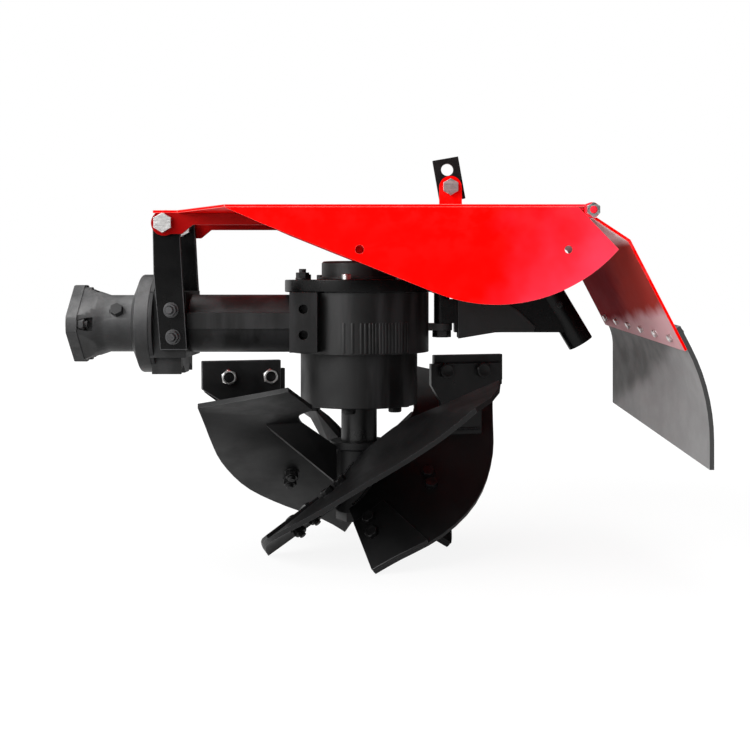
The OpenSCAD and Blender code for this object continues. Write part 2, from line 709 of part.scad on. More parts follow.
// Point on the sheet: row 0 at its top edge, 1 to RUBBER_ARCS + 1 round the curl, then the foot
function rubber_point(row, v, h) = let (bend = rubber_bend - along(flap_lower_slope, flap_climb * v),
    r = mix(rubber_curl[0], rubber_curl[1], v), centre = bend - r * flap_out,
    turn = rubber_turn * (1 - min(max(row - 1, 0), RUBBER_ARCS) / RUBBER_ARCS),
    on_curl = centre + (r + h) * [cos(turn), sin(turn)],
    p = row == 0 ? on_curl - along(flap_lower_slope, rubber_lap)
        : row > RUBBER_ARCS + 1 ? [on_curl[0], rubber_bend[1] - rubber_drop + rubber_slant * v] : on_curl)
    [p[0], v * hinge_len, p[1]];
function rubber_grid(h) = [for (row = [0:RUBBER_ARCS + 2]) for (c = [0:RUBBER_COLS])
    rubber_point(row, c / RUBBER_COLS, h)];
module rubber_sheet() color(rubber) on_hinge()
    shell(rubber_grid(rubber_t / 2), rubber_grid(-rubber_t / 2), RUBBER_ARCS + 3, RUBBER_COLS + 1);

// Rear arm
arm_half_w = 12;
arm_top = 28;
arm_foot = -10;
arm_eye_r = 9;
arm_plate_t = 5;
tube_low = [arm_x + arm_len, -23];
module on_tube() translate([tube_low[0], 0, tube_low[1]]) rotate([0, -tube_lean, 0]) children();
module arm_bar() color(black) difference() {
    union() {
        translate([arm_x, 0, 0]) rod_z(arm_eye_r, lug_low[1] + gap, lug_up[0] - gap);
        span([arm_x, -arm_eye_r, lug_low[1] + gap], [arm_x + 15, arm_eye_r, arm_top]);
        span([arm_x + 14, -arm_half_w, arm_foot], [tube_low[0] - 8, arm_half_w, arm_top]);
    }
    translate([arm_x, 0, 0]) rod_z(arm_pin_r + fit, -30, 60);
    on_tube() rod_z(tube_r + fit, -40, tube_len);
    on_tube() span([-2, -20, -20], [60, 20, tube_len]);
}
module arm_side_plates() color(black) for (side = [-1, 1])
    plate_y(side < 0 ? -arm_half_w - arm_plate_t : arm_half_w,
        side < 0 ? -arm_half_w : arm_half_w + arm_plate_t)
        polygon([[arm_x + 18, -17], [arm_x + 60, -10], [arm_x + 104, -9], [arm_x + 106, -3],
            [arm_x + 88, 14], [arm_x + 60, 32], [arm_x + 18, 32]]);
module skid_tube() color(black) on_tube() difference() {
    rod_z(tube_r, 0, tube_len);
    rod_z(tube_bore_r, -eps, tube_len + eps);
}

drive_flange_neck();
round_flange();
gearbox_casting();
top_cover();
top_bearing_cap();
filler_plug();
neck_plug();
rotor_bearing_housing();
left_strap();
right_strap();
left_hood_pivot_bolt();
right_hood_pivot_bolt();
arm_pin();
input_claw_shaft();
rotor_shaft();
rotor_hub();
blade_1();
blade_2();
blade_3();
blade_4();
share_points();
blade_stays();
knife_lugs();
knives();
hood_top_plate();
left_side_plate();
right_side_plate();
left_ear_arm();
right_ear_arm();
hanger_lug();
hanger_bolt();
hood_knuckles();
hinge_pin();
hanger_plate();
flap_panel();
rubber_sheet();
arm_bar();
arm_side_plates();
skid_tube();
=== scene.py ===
"""Rotary plough for a two-wheel tractor: finishes, fasteners, welds and studio.

Units are metres. +X runs back along the machine, +Y to its right side and +Z up. The origin is
the centre of the drive flange's face, on the drive axis.
"""
import logging
import math
from collections.abc import Callable, Iterable, Iterator, Sequence
from contextlib import contextmanager
from dataclasses import dataclass, field
from enum import Enum
from typing import ClassVar

import bmesh
import bpy
from mathutils import Matrix, Vector


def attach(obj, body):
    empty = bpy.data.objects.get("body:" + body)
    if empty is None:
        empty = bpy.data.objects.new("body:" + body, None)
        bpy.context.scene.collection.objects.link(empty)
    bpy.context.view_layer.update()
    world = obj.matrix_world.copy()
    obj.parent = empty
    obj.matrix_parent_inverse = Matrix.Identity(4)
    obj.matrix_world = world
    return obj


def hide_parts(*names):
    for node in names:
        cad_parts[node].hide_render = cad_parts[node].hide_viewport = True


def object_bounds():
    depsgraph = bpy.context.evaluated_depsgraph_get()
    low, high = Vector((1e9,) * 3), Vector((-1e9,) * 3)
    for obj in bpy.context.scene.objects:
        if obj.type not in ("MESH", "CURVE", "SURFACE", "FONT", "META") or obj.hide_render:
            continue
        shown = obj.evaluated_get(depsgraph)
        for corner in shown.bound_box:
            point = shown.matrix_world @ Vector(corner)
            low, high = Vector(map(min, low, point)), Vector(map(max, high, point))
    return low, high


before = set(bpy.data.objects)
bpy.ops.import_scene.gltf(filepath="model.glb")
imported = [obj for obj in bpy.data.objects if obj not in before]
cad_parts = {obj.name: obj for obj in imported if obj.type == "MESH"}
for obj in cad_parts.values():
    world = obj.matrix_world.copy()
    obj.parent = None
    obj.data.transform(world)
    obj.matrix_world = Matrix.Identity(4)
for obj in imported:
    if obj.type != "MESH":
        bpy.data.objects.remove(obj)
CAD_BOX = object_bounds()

LOG = logging.getLogger("rotary_plough")

Colour = tuple[float, float, float]
Point = tuple[float, float, float]
Span = tuple[float, float]
Piece = bpy.types.Object
Mesh = bpy.types.Mesh
Element = bmesh.types.BMFace | bmesh.types.BMEdge
Node = bpy.types.Node
Socket = bpy.types.NodeSocket

# Places that more than one sub-assembly goes by
ROTOR_X = 0.325
HINGE_NEAR: Point = (0.567, -0.155, 0.120)
HINGE_TURN = 3.0

# Directions along the machine's axes
UP: Point = (0, 0, 1)
DOWN: Point = (0, 0, -1)
BACKWARDS: Point = (1, 0, 0)
NEARWARDS: Point = (0, -1, 0)


class Body(Enum):
    """Bodies of the machine that pieces ride on."""

    HOUSING = "housing"
    INPUT = "input_shaft"
    ROTOR = "rotor"
    HOOD = "hood"
    HANGER = "hanger"
    FLAP = "flap"
    ARM = "rear_arm"


class Slot(Enum):
    """Material slots of the record."""

    BLACK = "black_paint"
    CAST = "cast_grey"
    RED = "red_paint"
    ZINC = "zinc_steel"
    RUBBER = "grey_rubber"


class Surface(Enum):
    """Finishes that a piece can wear, each with the slot that it belongs to."""

    CASTING = ("casting", Slot.BLACK)
    PLATE = ("plate", Slot.BLACK)
    BLADE = ("blade", Slot.BLACK)
    # A darker black for parts that sit in shade: painted shade
    DEEP = ("deep", Slot.BLACK)
    # Lighter black for broken edges: painted edge highlights
    BLACK_EDGE = ("black_edge_highlight", Slot.BLACK)
    NECK = ("neck", Slot.CAST)
    HOOD = ("hood", Slot.RED)
    # Darker red for the ear arms under the hood: painted shade
    EAR = ("ear", Slot.RED)
    FLAP = ("flap", Slot.RED)
    # Paler red for broken edges: painted edge highlights
    RED_EDGE = ("red_edge_highlight", Slot.RED)
    ZINC = ("zinc", Slot.ZINC)
    RUBBER = ("rubber", Slot.RUBBER)
    SEAL = ("seal", Slot.BLACK)

    @property
    def slot(self) -> Slot:
        """Slot that the finish belongs to."""
        return self.value[1]


class Bench:
    """Modelling steps that every sub-assembly shares."""

    smooth_below: ClassVar[float] = 32.0
    fine_edge: ClassVar[float] = 0.0002
    same_height: ClassVar[float] = 1e-6
    round_sides: ClassVar[int] = 32

    @staticmethod
    def focus(piece: Piece) -> None:
        """Selects one piece alone and makes it active.

        Args:
            piece: The piece to work on.
        """
        bpy.ops.object.select_all(action="DESELECT")
        piece.select_set(True)
        bpy.context.view_layer.objects.active = piece

    @staticmethod
    @contextmanager
    def editing(piece: Piece, mode: str = "FACE") -> Iterator[None]:
        """Holds a piece in edit mode.

        Args:
            piece: The piece to edit.
            mode: Select mode, "FACE", "EDGE" or "VERT".
        """
        Bench.focus(piece)
        bpy.ops.object.mode_set(mode="EDIT")
        bpy.ops.mesh.select_mode(type=mode)
        yield
        bpy.ops.object.mode_set(mode="OBJECT")

    @staticmethod
    def pick(piece: Piece, kind: str, choose: Callable[[Element], bool]) -> None:
        """Selects the faces or edges that a test accepts, in edit mode.

        Args:
            piece: The piece in edit mode.
            kind: "faces" or "edges".
            choose: Test on one of them.
        """
        bpy.ops.mesh.select_all(action="DESELECT")
        mesh = bmesh.from_edit_mesh(piece.data)
        for element in getattr(mesh, kind):
            element.select_set(choose(element))
        bmesh.update_edit_mesh(piece.data)

    @staticmethod
    def modify(piece: Piece, kind: str, **settings: object) -> None:
        """Adds a modifier with the given settings and applies it.

        Args:
            piece: The piece to change.
            kind: Modifier type.
            **settings: Values of the modifier's own fields.
        """
        Bench.focus(piece)
        modifier = piece.modifiers.new(kind.title(), kind)
        for key, value in settings.items():
            setattr(modifier, key, value)
        bpy.ops.object.modifier_apply(modifier=modifier.name)

    @staticmethod
    def ease(piece: Piece) -> None:
        """Breaks every sharp edge of a small piece."""
        Bench.modify(piece, "BEVEL", width=Bench.fine_edge, segments=2, limit_method="ANGLE")

    @staticmethod
    def stretch(piece: Piece, amounts: Point) -> None:
        """Stretches a piece about the origin.

        Args:
            piece: The piece to stretch.
            amounts: Stretch along each axis.
        """
        with Bench.editing(piece):
            bpy.ops.mesh.select_all(action="SELECT")
            bpy.ops.transform.resize(value=amounts, center_override=(0, 0, 0))

    @staticmethod
    def smooth(piece: Piece, degrees: float) -> None:
        """Shades a piece smooth, up to an angle between its faces."""
        Bench.focus(piece)
        bpy.ops.object.shade_smooth_by_angle(angle=math.radians(degrees))

    @staticmethod
    def round_bar(radius: float, length: float, sides: int = round_sides, base: float = 0.0) -> Piece:
        """Starts a piece from an upright bar.

        Args:
            radius: Radius of the bar, to its corners.
            length: Length along +Z.
            sides: Number of side faces.
            base: Height of its lower end.

        Returns:
            The bar.
        """
        bpy.ops.object.select_all(action="DESELECT")
        bpy.ops.mesh.primitive_cylinder_add(vertices=sides, radius=radius, depth=length,
                                            location=(0, 0, base + length / 2))
        bpy.ops.object.transform_apply(location=True, rotation=True, scale=True)
        return bpy.context.object

    @staticmethod
    def chamfer_rims(piece: Piece, heights: Sequence[float], width: float, segments: int = 2) -> None:
        """Bevels the rims of an upright piece at the given heights.

        Args:
            piece: The piece to bevel.
            heights: Heights of the rims.
            width: Width of the bevel.
            segments: Number of steps in the bevel.
        """
        def on_rim(edge: bmesh.types.BMEdge) -> bool:
            """Tells whether both ends of an edge lie on one of the rims."""
            return any(all(abs(v.co.z - h) < Bench.same_height for v in edge.verts) for h in heights)

        with Bench.editing(piece, "EDGE"):
            Bench.pick(piece, "edges", on_rim)
            bpy.ops.mesh.bevel(offset=width, segments=segments, affect="EDGES")

    @staticmethod
    def combine(piece: Piece, other: Piece, how: str) -> None:
        """Cuts or meets a piece with another, which is used up.

        Args:
            piece: The piece that stays.
            other: The tool piece.
            how: "DIFFERENCE" or "INTERSECT".
        """
        Bench.modify(piece, "BOOLEAN", object=other, operation=how, solver="EXACT")
        bpy.data.objects.remove(other)

    @staticmethod
    def unite(pieces: Sequence[Piece]) -> Piece:
        """Joins pieces into the first of them.

        Args:
            pieces: The pieces to join.

        Returns:
            The joined piece.
        """
        Bench.focus(pieces[0])
        for piece in pieces[1:]:
            piece.select_set(True)
        bpy.ops.object.join()
        return bpy.context.object

    @staticmethod
    def as_pattern(piece: Piece, degrees: float | None = None) -> Mesh:
        """Keeps a finished piece's mesh as a pattern to copy, and clears the piece away.

        Args:
            piece: The finished piece.
            degrees: Sharpest angle that still shades smooth, where it isn't the usual one.

        Returns:
            The pattern's mesh.
        """
        Bench.smooth(piece, degrees or Bench.smooth_below)
        pattern = piece.data.copy()
        bpy.data.objects.remove(piece)
        return pattern

    @staticmethod
    def stamp(name: str, pattern: Mesh, places: Iterable[Matrix]) -> Piece:
        """Copies a pattern to each place, as one piece with its own mesh.

        Args:
            name: Name of the piece.
            pattern: Mesh to copy.
            places: Place of each copy.

        Returns:
            The piece, at the origin.
        """
        builder = bmesh.new()
        for place in places:
            copy = pattern.copy()
            copy.transform(place)
            builder.from_mesh(copy)
            bpy.data.meshes.remove(copy)
        mesh = bpy.data.meshes.new(name)
        builder.to_mesh(mesh)
        builder.free()
        piece = bpy.data.objects.new(name, mesh)
        bpy.context.scene.collection.objects.link(piece)
        return piece

    @staticmethod
    def turn_z(degrees: float) -> Matrix:
        """Turn about the upright axis."""
        return Matrix.Rotation(math.radians(degrees), 4, "Z")

    @staticmethod
    def facing(origin: Sequence[float], direction: Sequence[float], turn: float = 0.0,
               size: float = 1.0) -> Matrix:
        """Place of a copy whose +Z looks along a direction.

        Args:
            origin: Point that the copy's own origin goes to.
            direction: Where its +Z looks.
            turn: Turn about its own axis, in degrees.
            size: Size beside the pattern's.

        Returns:
            The place as a matrix.
        """
        aim = Vector(direction).normalized().to_track_quat("Z", "Y").to_matrix().to_4x4()
        return Matrix.Translation(Vector(origin)) @ aim @ Bench.turn_z(turn) @ Matrix.Scale(size, 4)

    @staticmethod
    def ring_of(count: int, radius: float, centre: Point, direction: Point,
                start: float = 0.0) -> list[Matrix]:
        """Places spaced evenly on an upright or lying circle.

        Args:
            count: Number of places.
            radius: Radius of the circle.
            centre: Centre of the circle.
            direction: Axis of the circle, along X or Z.
            start: Angle of the first place, in degrees.

        Returns:
            The places.
        """
        along_x = abs(direction[0]) > 0.5
        places = []
        for index in range(count):
            angle = math.radians(start + 360 * index / count)
            across, up = radius * math.cos(angle), radius * math.sin(angle)
            offset = Vector((0, across, up)) if along_x else Vector((across, up, 0))
            places.append(Bench.facing(Vector(centre) + offset, direction, math.degrees(angle)))
        return places


class Fastener(Enum):
    """Small parts that are modelled once and copied."""

    BOLT = "bolt"
    NUT = "nut"
    THIN_NUT = "thin_nut"
    STUB = "stub"
    SCREW = "screw"
    DOME = "dome"
    WELD = "weld"


@dataclass
class FastenerKit:
    """Patterns of the bolts, nuts, screws and weld scales, each modelled once."""

    across_flats: float = 0.013
    corner_slant: float = 1.15
    turned_over: float = 1.01
    head_height: float = 0.0055
    head_seat: float = 0.0006
    dish_share: float = 0.36
    dish_depth: float = 0.0004
    collar_share: float = 0.53
    collar_height: float = 0.0008
    collar_rim: float = 0.0003
    nut_height: float = 0.0065
    bore_share: float = 1.12
    stud_radius: float = 0.004
    stud_length: float = 0.0035
    thread_pitch: float = 0.00125
    thread_depth_share: float = 0.42
    screw_radius: float = 0.005
    screw_height: float = 0.006
    screw_rim: float = 0.0007
    socket_share: float = 0.58
    socket_floor_share: float = 0.45
    dome_radius: float = 0.0095
    dome_height: float = 0.004
    dome_cut_share: float = 0.2
    dome_foot: float = 0.0012
    washer_radius: float = 0.0085
    washer_bore: float = 0.0043
    washer_thickness: float = 0.0013
    washer_rim: float = 0.0003
    thin_flats: float = 0.0152
    thin_height: float = 0.005
    thin_slant: float = 1.3
    stub_radius: float = 0.0057
    stub_height: float = 0.0035
    stub_rim: float = 0.0006
    dimple_radius: float = 0.0016
    dimple_depth: float = 0.0009
    dimple_reach: float = 0.002
    scale_radius: float = 0.0024
    scale_shape: Point = (1.15, 0.62, 0.72)
    scale_smooth_below: float = 80.0
    scale_pitch_share: float = 0.95
    scale_wobble: float = 0.12
    scale_beat: float = 2.3
    patterns: dict[Fastener, Mesh] = field(default_factory=dict)
    ring_sides: ClassVar[int] = 48
    head_sides: ClassVar[int] = 40
    dome_sides: ClassVar[int] = 36
    dome_rings: ClassVar[int] = 20
    thread_sides: ClassVar[int] = 28
    dimple_sides: ClassVar[int] = 20
    hexagon_sides: ClassVar[int] = 6

    def build(self) -> None:
        """Models every pattern."""
        makers = {Fastener.BOLT: self._bolt, Fastener.NUT: self._nut, Fastener.SCREW: self._screw,
                  Fastener.DOME: self._dome, Fastener.THIN_NUT: self._thin_nut, Fastener.STUB: self._stub,
                  Fastener.WELD: self._weld_scale}
        for fastener, maker in makers.items():
            self.patterns[fastener] = maker()
            LOG.info("pattern %s: %d faces", fastener.value, len(self.patterns[fastener].polygons))

    def _hexagon(self, flats: float, height: float, base: float, slant: float, both_ends: bool) -> Piece:
        """Hexagon whose corners are turned off at a slant.

        Args:
            flats: Size across its flats.
            height: Height of the hexagon.
            base: Height of its seat.
            slant: Width of the slant beside the corners' reach past the flats.
            both_ends: Turns the lower corners off too.

        Returns:
            The hexagon.
        """
        corner = flats / math.sqrt(3)
        hexagon = Bench.round_bar(corner, height, self.hexagon_sides, base)
        turned = Bench.round_bar(corner * self.turned_over, height, self.ring_sides, base)
        heights = [base + height] + ([base] if both_ends else [])
        Bench.chamfer_rims(turned, heights, (corner - flats / 2) * slant, 1)
        Bench.combine(hexagon, turned, "INTERSECT")
        return hexagon

    def _bolt(self) -> Mesh:
        """Bolt head on its washer face, with a shallow dish in its crown.

        Returns:
            The pattern.
        """
        head = self._hexagon(self.across_flats, self.head_height, self.head_seat, self.corner_slant, False)
        floor = self.head_seat + self.head_height - self.dish_depth
        dish = Bench.round_bar(self.across_flats * self.dish_share, self.dish_depth * 2, base=floor)
        Bench.combine(head, dish, "DIFFERENCE")
        Bench.ease(head)
        collar = Bench.round_bar(self.across_flats * self.collar_share, self.collar_height, self.head_sides)
        Bench.chamfer_rims(collar, [self.collar_height], self.collar_rim)
        return Bench.as_pattern(Bench.unite([head, collar]))

    def _nut(self) -> Mesh:
        """Nut on its washer, with the threaded end of its bolt.

        Returns:
            The pattern.
        """
        nut = self._hexagon(self.across_flats, self.nut_height, self.washer_thickness, self.corner_slant,
                            True)
        bore = Bench.round_bar(self.stud_radius * self.bore_share, self.nut_height * 2)
        Bench.combine(nut, bore, "DIFFERENCE")
        Bench.ease(nut)
        parts = [nut, self.ring(self.washer_radius, self.washer_bore, self.washer_thickness, self.washer_rim)]
        top = self.washer_thickness + self.nut_height + self.stud_length
        for turn in range(int(self.stud_length / self.thread_pitch) + 2):
            low = top - (turn + 1) * self.thread_pitch
            thread = Bench.round_bar(self.stud_radius, self.thread_pitch, self.thread_sides, low)
            Bench.chamfer_rims(thread, [low, low + self.thread_pitch],
                               self.thread_pitch * self.thread_depth_share, 1)
            parts.append(thread)
        return Bench.as_pattern(Bench.unite(parts))

    def _thin_nut(self) -> Mesh:
        """Thin nut with a wide bore, for the coarse bolts of the knives.

        Returns:
            The pattern.
        """
        nut = self._hexagon(self.thin_flats, self.thin_height, 0.0, self.thin_slant, False)
        bore = Bench.round_bar(self.stub_radius, self.thin_height * 3, self.head_sides)
        Bench.combine(nut, bore, "DIFFERENCE")
        Bench.ease(nut)
        return Bench.as_pattern(nut)

    def _stub(self) -> Mesh:
        """Painted bolt end inside a thin nut, with its centre dimple.

        Returns:
            The pattern.
        """
        stub = Bench.round_bar(self.stub_radius, self.stub_height, self.head_sides)
        Bench.chamfer_rims(stub, [self.stub_height], self.stub_rim)
        dimple = Bench.round_bar(self.dimple_radius, self.dimple_reach, self.dimple_sides,
                                 self.stub_height - self.dimple_depth)
        Bench.combine(stub, dimple, "DIFFERENCE")
        return Bench.as_pattern(stub)

    def _screw(self) -> Mesh:
        """Cap screw with a hexagon socket.

        Returns:
            The pattern.
        """
        head = Bench.round_bar(self.screw_radius, self.screw_height, self.head_sides)
        Bench.chamfer_rims(head, [self.screw_height], self.screw_rim)
        socket = Bench.round_bar(self.screw_radius * self.socket_share, self.screw_height,
                                 self.hexagon_sides, self.screw_height * self.socket_floor_share)
        Bench.combine(head, socket, "DIFFERENCE")
        return Bench.as_pattern(head)

    def _dome(self) -> Mesh:
        """Low round pin end on a short foot.

        Returns:
            The pattern.
        """
        bpy.ops.object.select_all(action="DESELECT")
        bpy.ops.mesh.primitive_uv_sphere_add(segments=self.dome_sides, ring_count=self.dome_rings,
                                             radius=self.dome_radius)
        dome = bpy.context.object
        cut = self.dome_radius * self.dome_cut_share
        with Bench.editing(dome):
            bpy.ops.mesh.select_all(action="SELECT")
            bpy.ops.mesh.bisect(plane_co=(0, 0, cut), plane_no=(0, 0, 1), clear_inner=True, use_fill=True)
            bpy.ops.mesh.select_all(action="SELECT")
            bpy.ops.transform.translate(value=(0, 0, -cut))
            bpy.ops.transform.resize(value=(1, 1, self.dome_height / (self.dome_radius - cut)),
                                     center_override=(0, 0, 0))
            Bench.pick(dome, "faces", lambda f: f.normal.z < -0.9)
            bpy.ops.mesh.extrude_region_move(TRANSFORM_OT_translate={"value": (0, 0, -self.dome_foot)})
            bpy.ops.mesh.select_all(action="SELECT")
            bpy.ops.transform.translate(value=(0, 0, self.dome_foot))
        return Bench.as_pattern(dome)

    def _weld_scale(self) -> Mesh:
        """One scale of a weld bead, wider than it is high.

        Returns:
            The pattern.
        """
        bpy.ops.object.select_all(action="DESELECT")
        bpy.ops.mesh.primitive_ico_sphere_add(subdivisions=2, radius=self.scale_radius)
        scale = bpy.context.object
        Bench.stretch(scale, self.scale_shape)
        return Bench.as_pattern(scale, self.scale_smooth_below)

    def ring(self, outer: float, inner: float, thickness: float, rim: float) -> Piece:
        """Flat ring with broken edges, lying on z 0.

        Args:
            outer: Outer radius.
            inner: Radius of the bore.
            thickness: Height of the ring.
            rim: Width of its broken edges.

        Returns:
            The ring.
        """
        ring = Bench.round_bar(outer, thickness, self.ring_sides)
        with Bench.editing(ring):
            Bench.pick(ring, "faces", lambda f: abs(f.normal.z) > 0.9)
            bpy.ops.mesh.inset(thickness=outer - inner, use_individual=True)
            bpy.ops.mesh.bridge_edge_loops()
        Bench.chamfer_rims(ring, [0.0, thickness], rim)
        return ring

    def seam(self, paths: Sequence[Sequence[Vector]], size: float = 1.0) -> list[Matrix]:
        """Places of the scales along weld paths.

        Args:
            paths: Points that each bead follows.
            size: Size of the bead beside the pattern's.

        Returns:
            The places, each scale lying across its path.
        """
        places = []
        aslant = Vector((0.3, 0.5, 0.81))
        pitch = self.scale_radius * self.scale_pitch_share * size
        for number, path in enumerate(paths):
            left = pitch / 2
            for start, end in zip(path, path[1:]):
                run = end - start
                step = run.normalized()
                side = step.cross(aslant).normalized()
                turn = Matrix((side, step, side.cross(step))).transposed().to_4x4()
                while left < run.length:
                    swell = 1 + self.scale_wobble * math.sin(self.scale_beat * len(places) + number)
                    places.append(Matrix.Translation(start + step * left) @ turn
                                  @ Matrix.Scale(size * swell, 4))
                    left += pitch
                left -= run.length
        return places


class Desk:
    """Places and wires the nodes of one material, world or node group."""

    def __init__(self, tree: bpy.types.NodeTree) -> None:
        """Keeps the tree to work on."""
        self.tree = tree

    def add(self, kind: str, **values: object) -> Node:
        """Adds a node.

        Args:
            kind: Node type without its "ShaderNode" prefix.
            **values: Settings of the node, or values of its inputs where a name matches one.

        Returns:
            The node.
        """
        node = self.tree.nodes.new("ShaderNode" + kind)
        for key, value in values.items():
            label = key.replace("_", " ")
            if label in node.inputs:
                node.inputs[label].default_value = value
            else:
                setattr(node, key, value)
        return node

    def join(self, source: Socket, target: Socket) -> None:
        """Links one socket to another."""
        self.tree.links.new(source, target)

    def feed(self, value: object, target: Socket) -> None:
        """Links a socket to an input, or sets the input to a plain value.

        Args:
            value: Socket, number or colour.
            target: The input.
        """
        if isinstance(value, Socket):
            self.join(value, target)
        else:
            target.default_value = value

    def maths(self, operation: str, first: object, second: object, clamp: bool = False) -> Socket:
        """Works out a result from two values.

        Args:
            operation: Operation of the Math node.
            first: Socket or number.
            second: Socket or number.
            clamp: Keeps the result between 0 and 1.

        Returns:
            The result.
        """
        node = self.add("Math", operation=operation, use_clamp=clamp)
        self.feed(first, node.inputs[0])
        self.feed(second, node.inputs[1])
        return node.outputs[0]

    def dot(self, vector: Socket, direction: Point) -> Socket:
        """Measures a vector along a direction.

        Args:
            vector: The vector.
            direction: The direction.

        Returns:
            The measure.
        """
        node = self.add("VectorMath", operation="DOT_PRODUCT")
        self.join(vector, node.inputs[0])
        node.inputs[1].default_value = direction
        return node.outputs["Value"]

    def split(self, vector: Socket) -> bpy.types.NodeOutputs:
        """Takes a vector apart.

        Args:
            vector: The vector.

        Returns:
            Its X, Y and Z.
        """
        node = self.add("SeparateXYZ")
        self.join(vector, node.inputs[0])
        return node.outputs

    def spread(self, value: Socket, come: Span, go: Span = (0.0, 1.0)) -> Socket:
        """Stretches a value smoothly from one span to another.

        Args:
            value: Socket to stretch.
            come: Span that comes in.
            go: Span that goes out.

        Returns:
            The stretched value.
        """
        node = self.add("MapRange", interpolation_type="SMOOTHSTEP")
        self.join(value, node.inputs["Value"])
        for name, number in zip(("From Min", "From Max", "To Min", "To Max"), (*come, *go)):
            node.inputs[name].default_value = number
        return node.outputs["Result"]

    def mix(self, factor: Socket, first: object, second: object) -> Socket:
        """Mixes two colours.

        Args:
            factor: Share of the second colour.
            first: Socket or colour.
            second: Socket or colour.

        Returns:
            The mixed colour.
        """
        node = self.add("Mix", data_type="RGBA")
        self.join(factor, node.inputs["Factor"])
        for socket, value in ((node.inputs[6], first), (node.inputs[7], second)):
            self.feed((*value, 1.0) if isinstance(value, tuple) else value, socket)
        return node.outputs[2]

    def noise(self, vector: Socket, scale: object, detail: float = 3.0, roughness: float = 0.5) -> Socket:
        """Adds a noise pattern.

        Args:
            vector: Place that the pattern reads.
            scale: Socket or number.
            detail: Number of octaves.
            roughness: Strength of the finer octaves.

        Returns:
            The pattern's value.
        """
        node = self.add("TexNoise", Detail=detail, Roughness=roughness)
        self.join(vector, node.inputs["Vector"])
        self.feed(scale, node.inputs["Scale"])
        return node.outputs["Fac"]


@dataclass(frozen=True)
class Cloud:
    """A noise pattern, and the span of it that shows."""

    scale: float
    detail: float
    roughness: float
    span: Span

    def over(self, desk: Desk, place: Socket, go: Span = (0.0, 1.0)) -> Socket:
        """Lays the pattern over a surface.

        Args:
            desk: The material's desk.
            place: Place that the pattern reads.
            go: Span that the pattern goes out as.

        Returns:
            The pattern's value.
        """
        return desk.spread(desk.noise(place, self.scale, self.detail, self.roughness), self.span, go)


class Effect(Enum):
    """Shared surface effects, each a node group."""

    RELIEF = "paint_relief"
    RUB = "edge_rub"
    DUST = "dust_and_top_light"
    STREAK = "streaks"


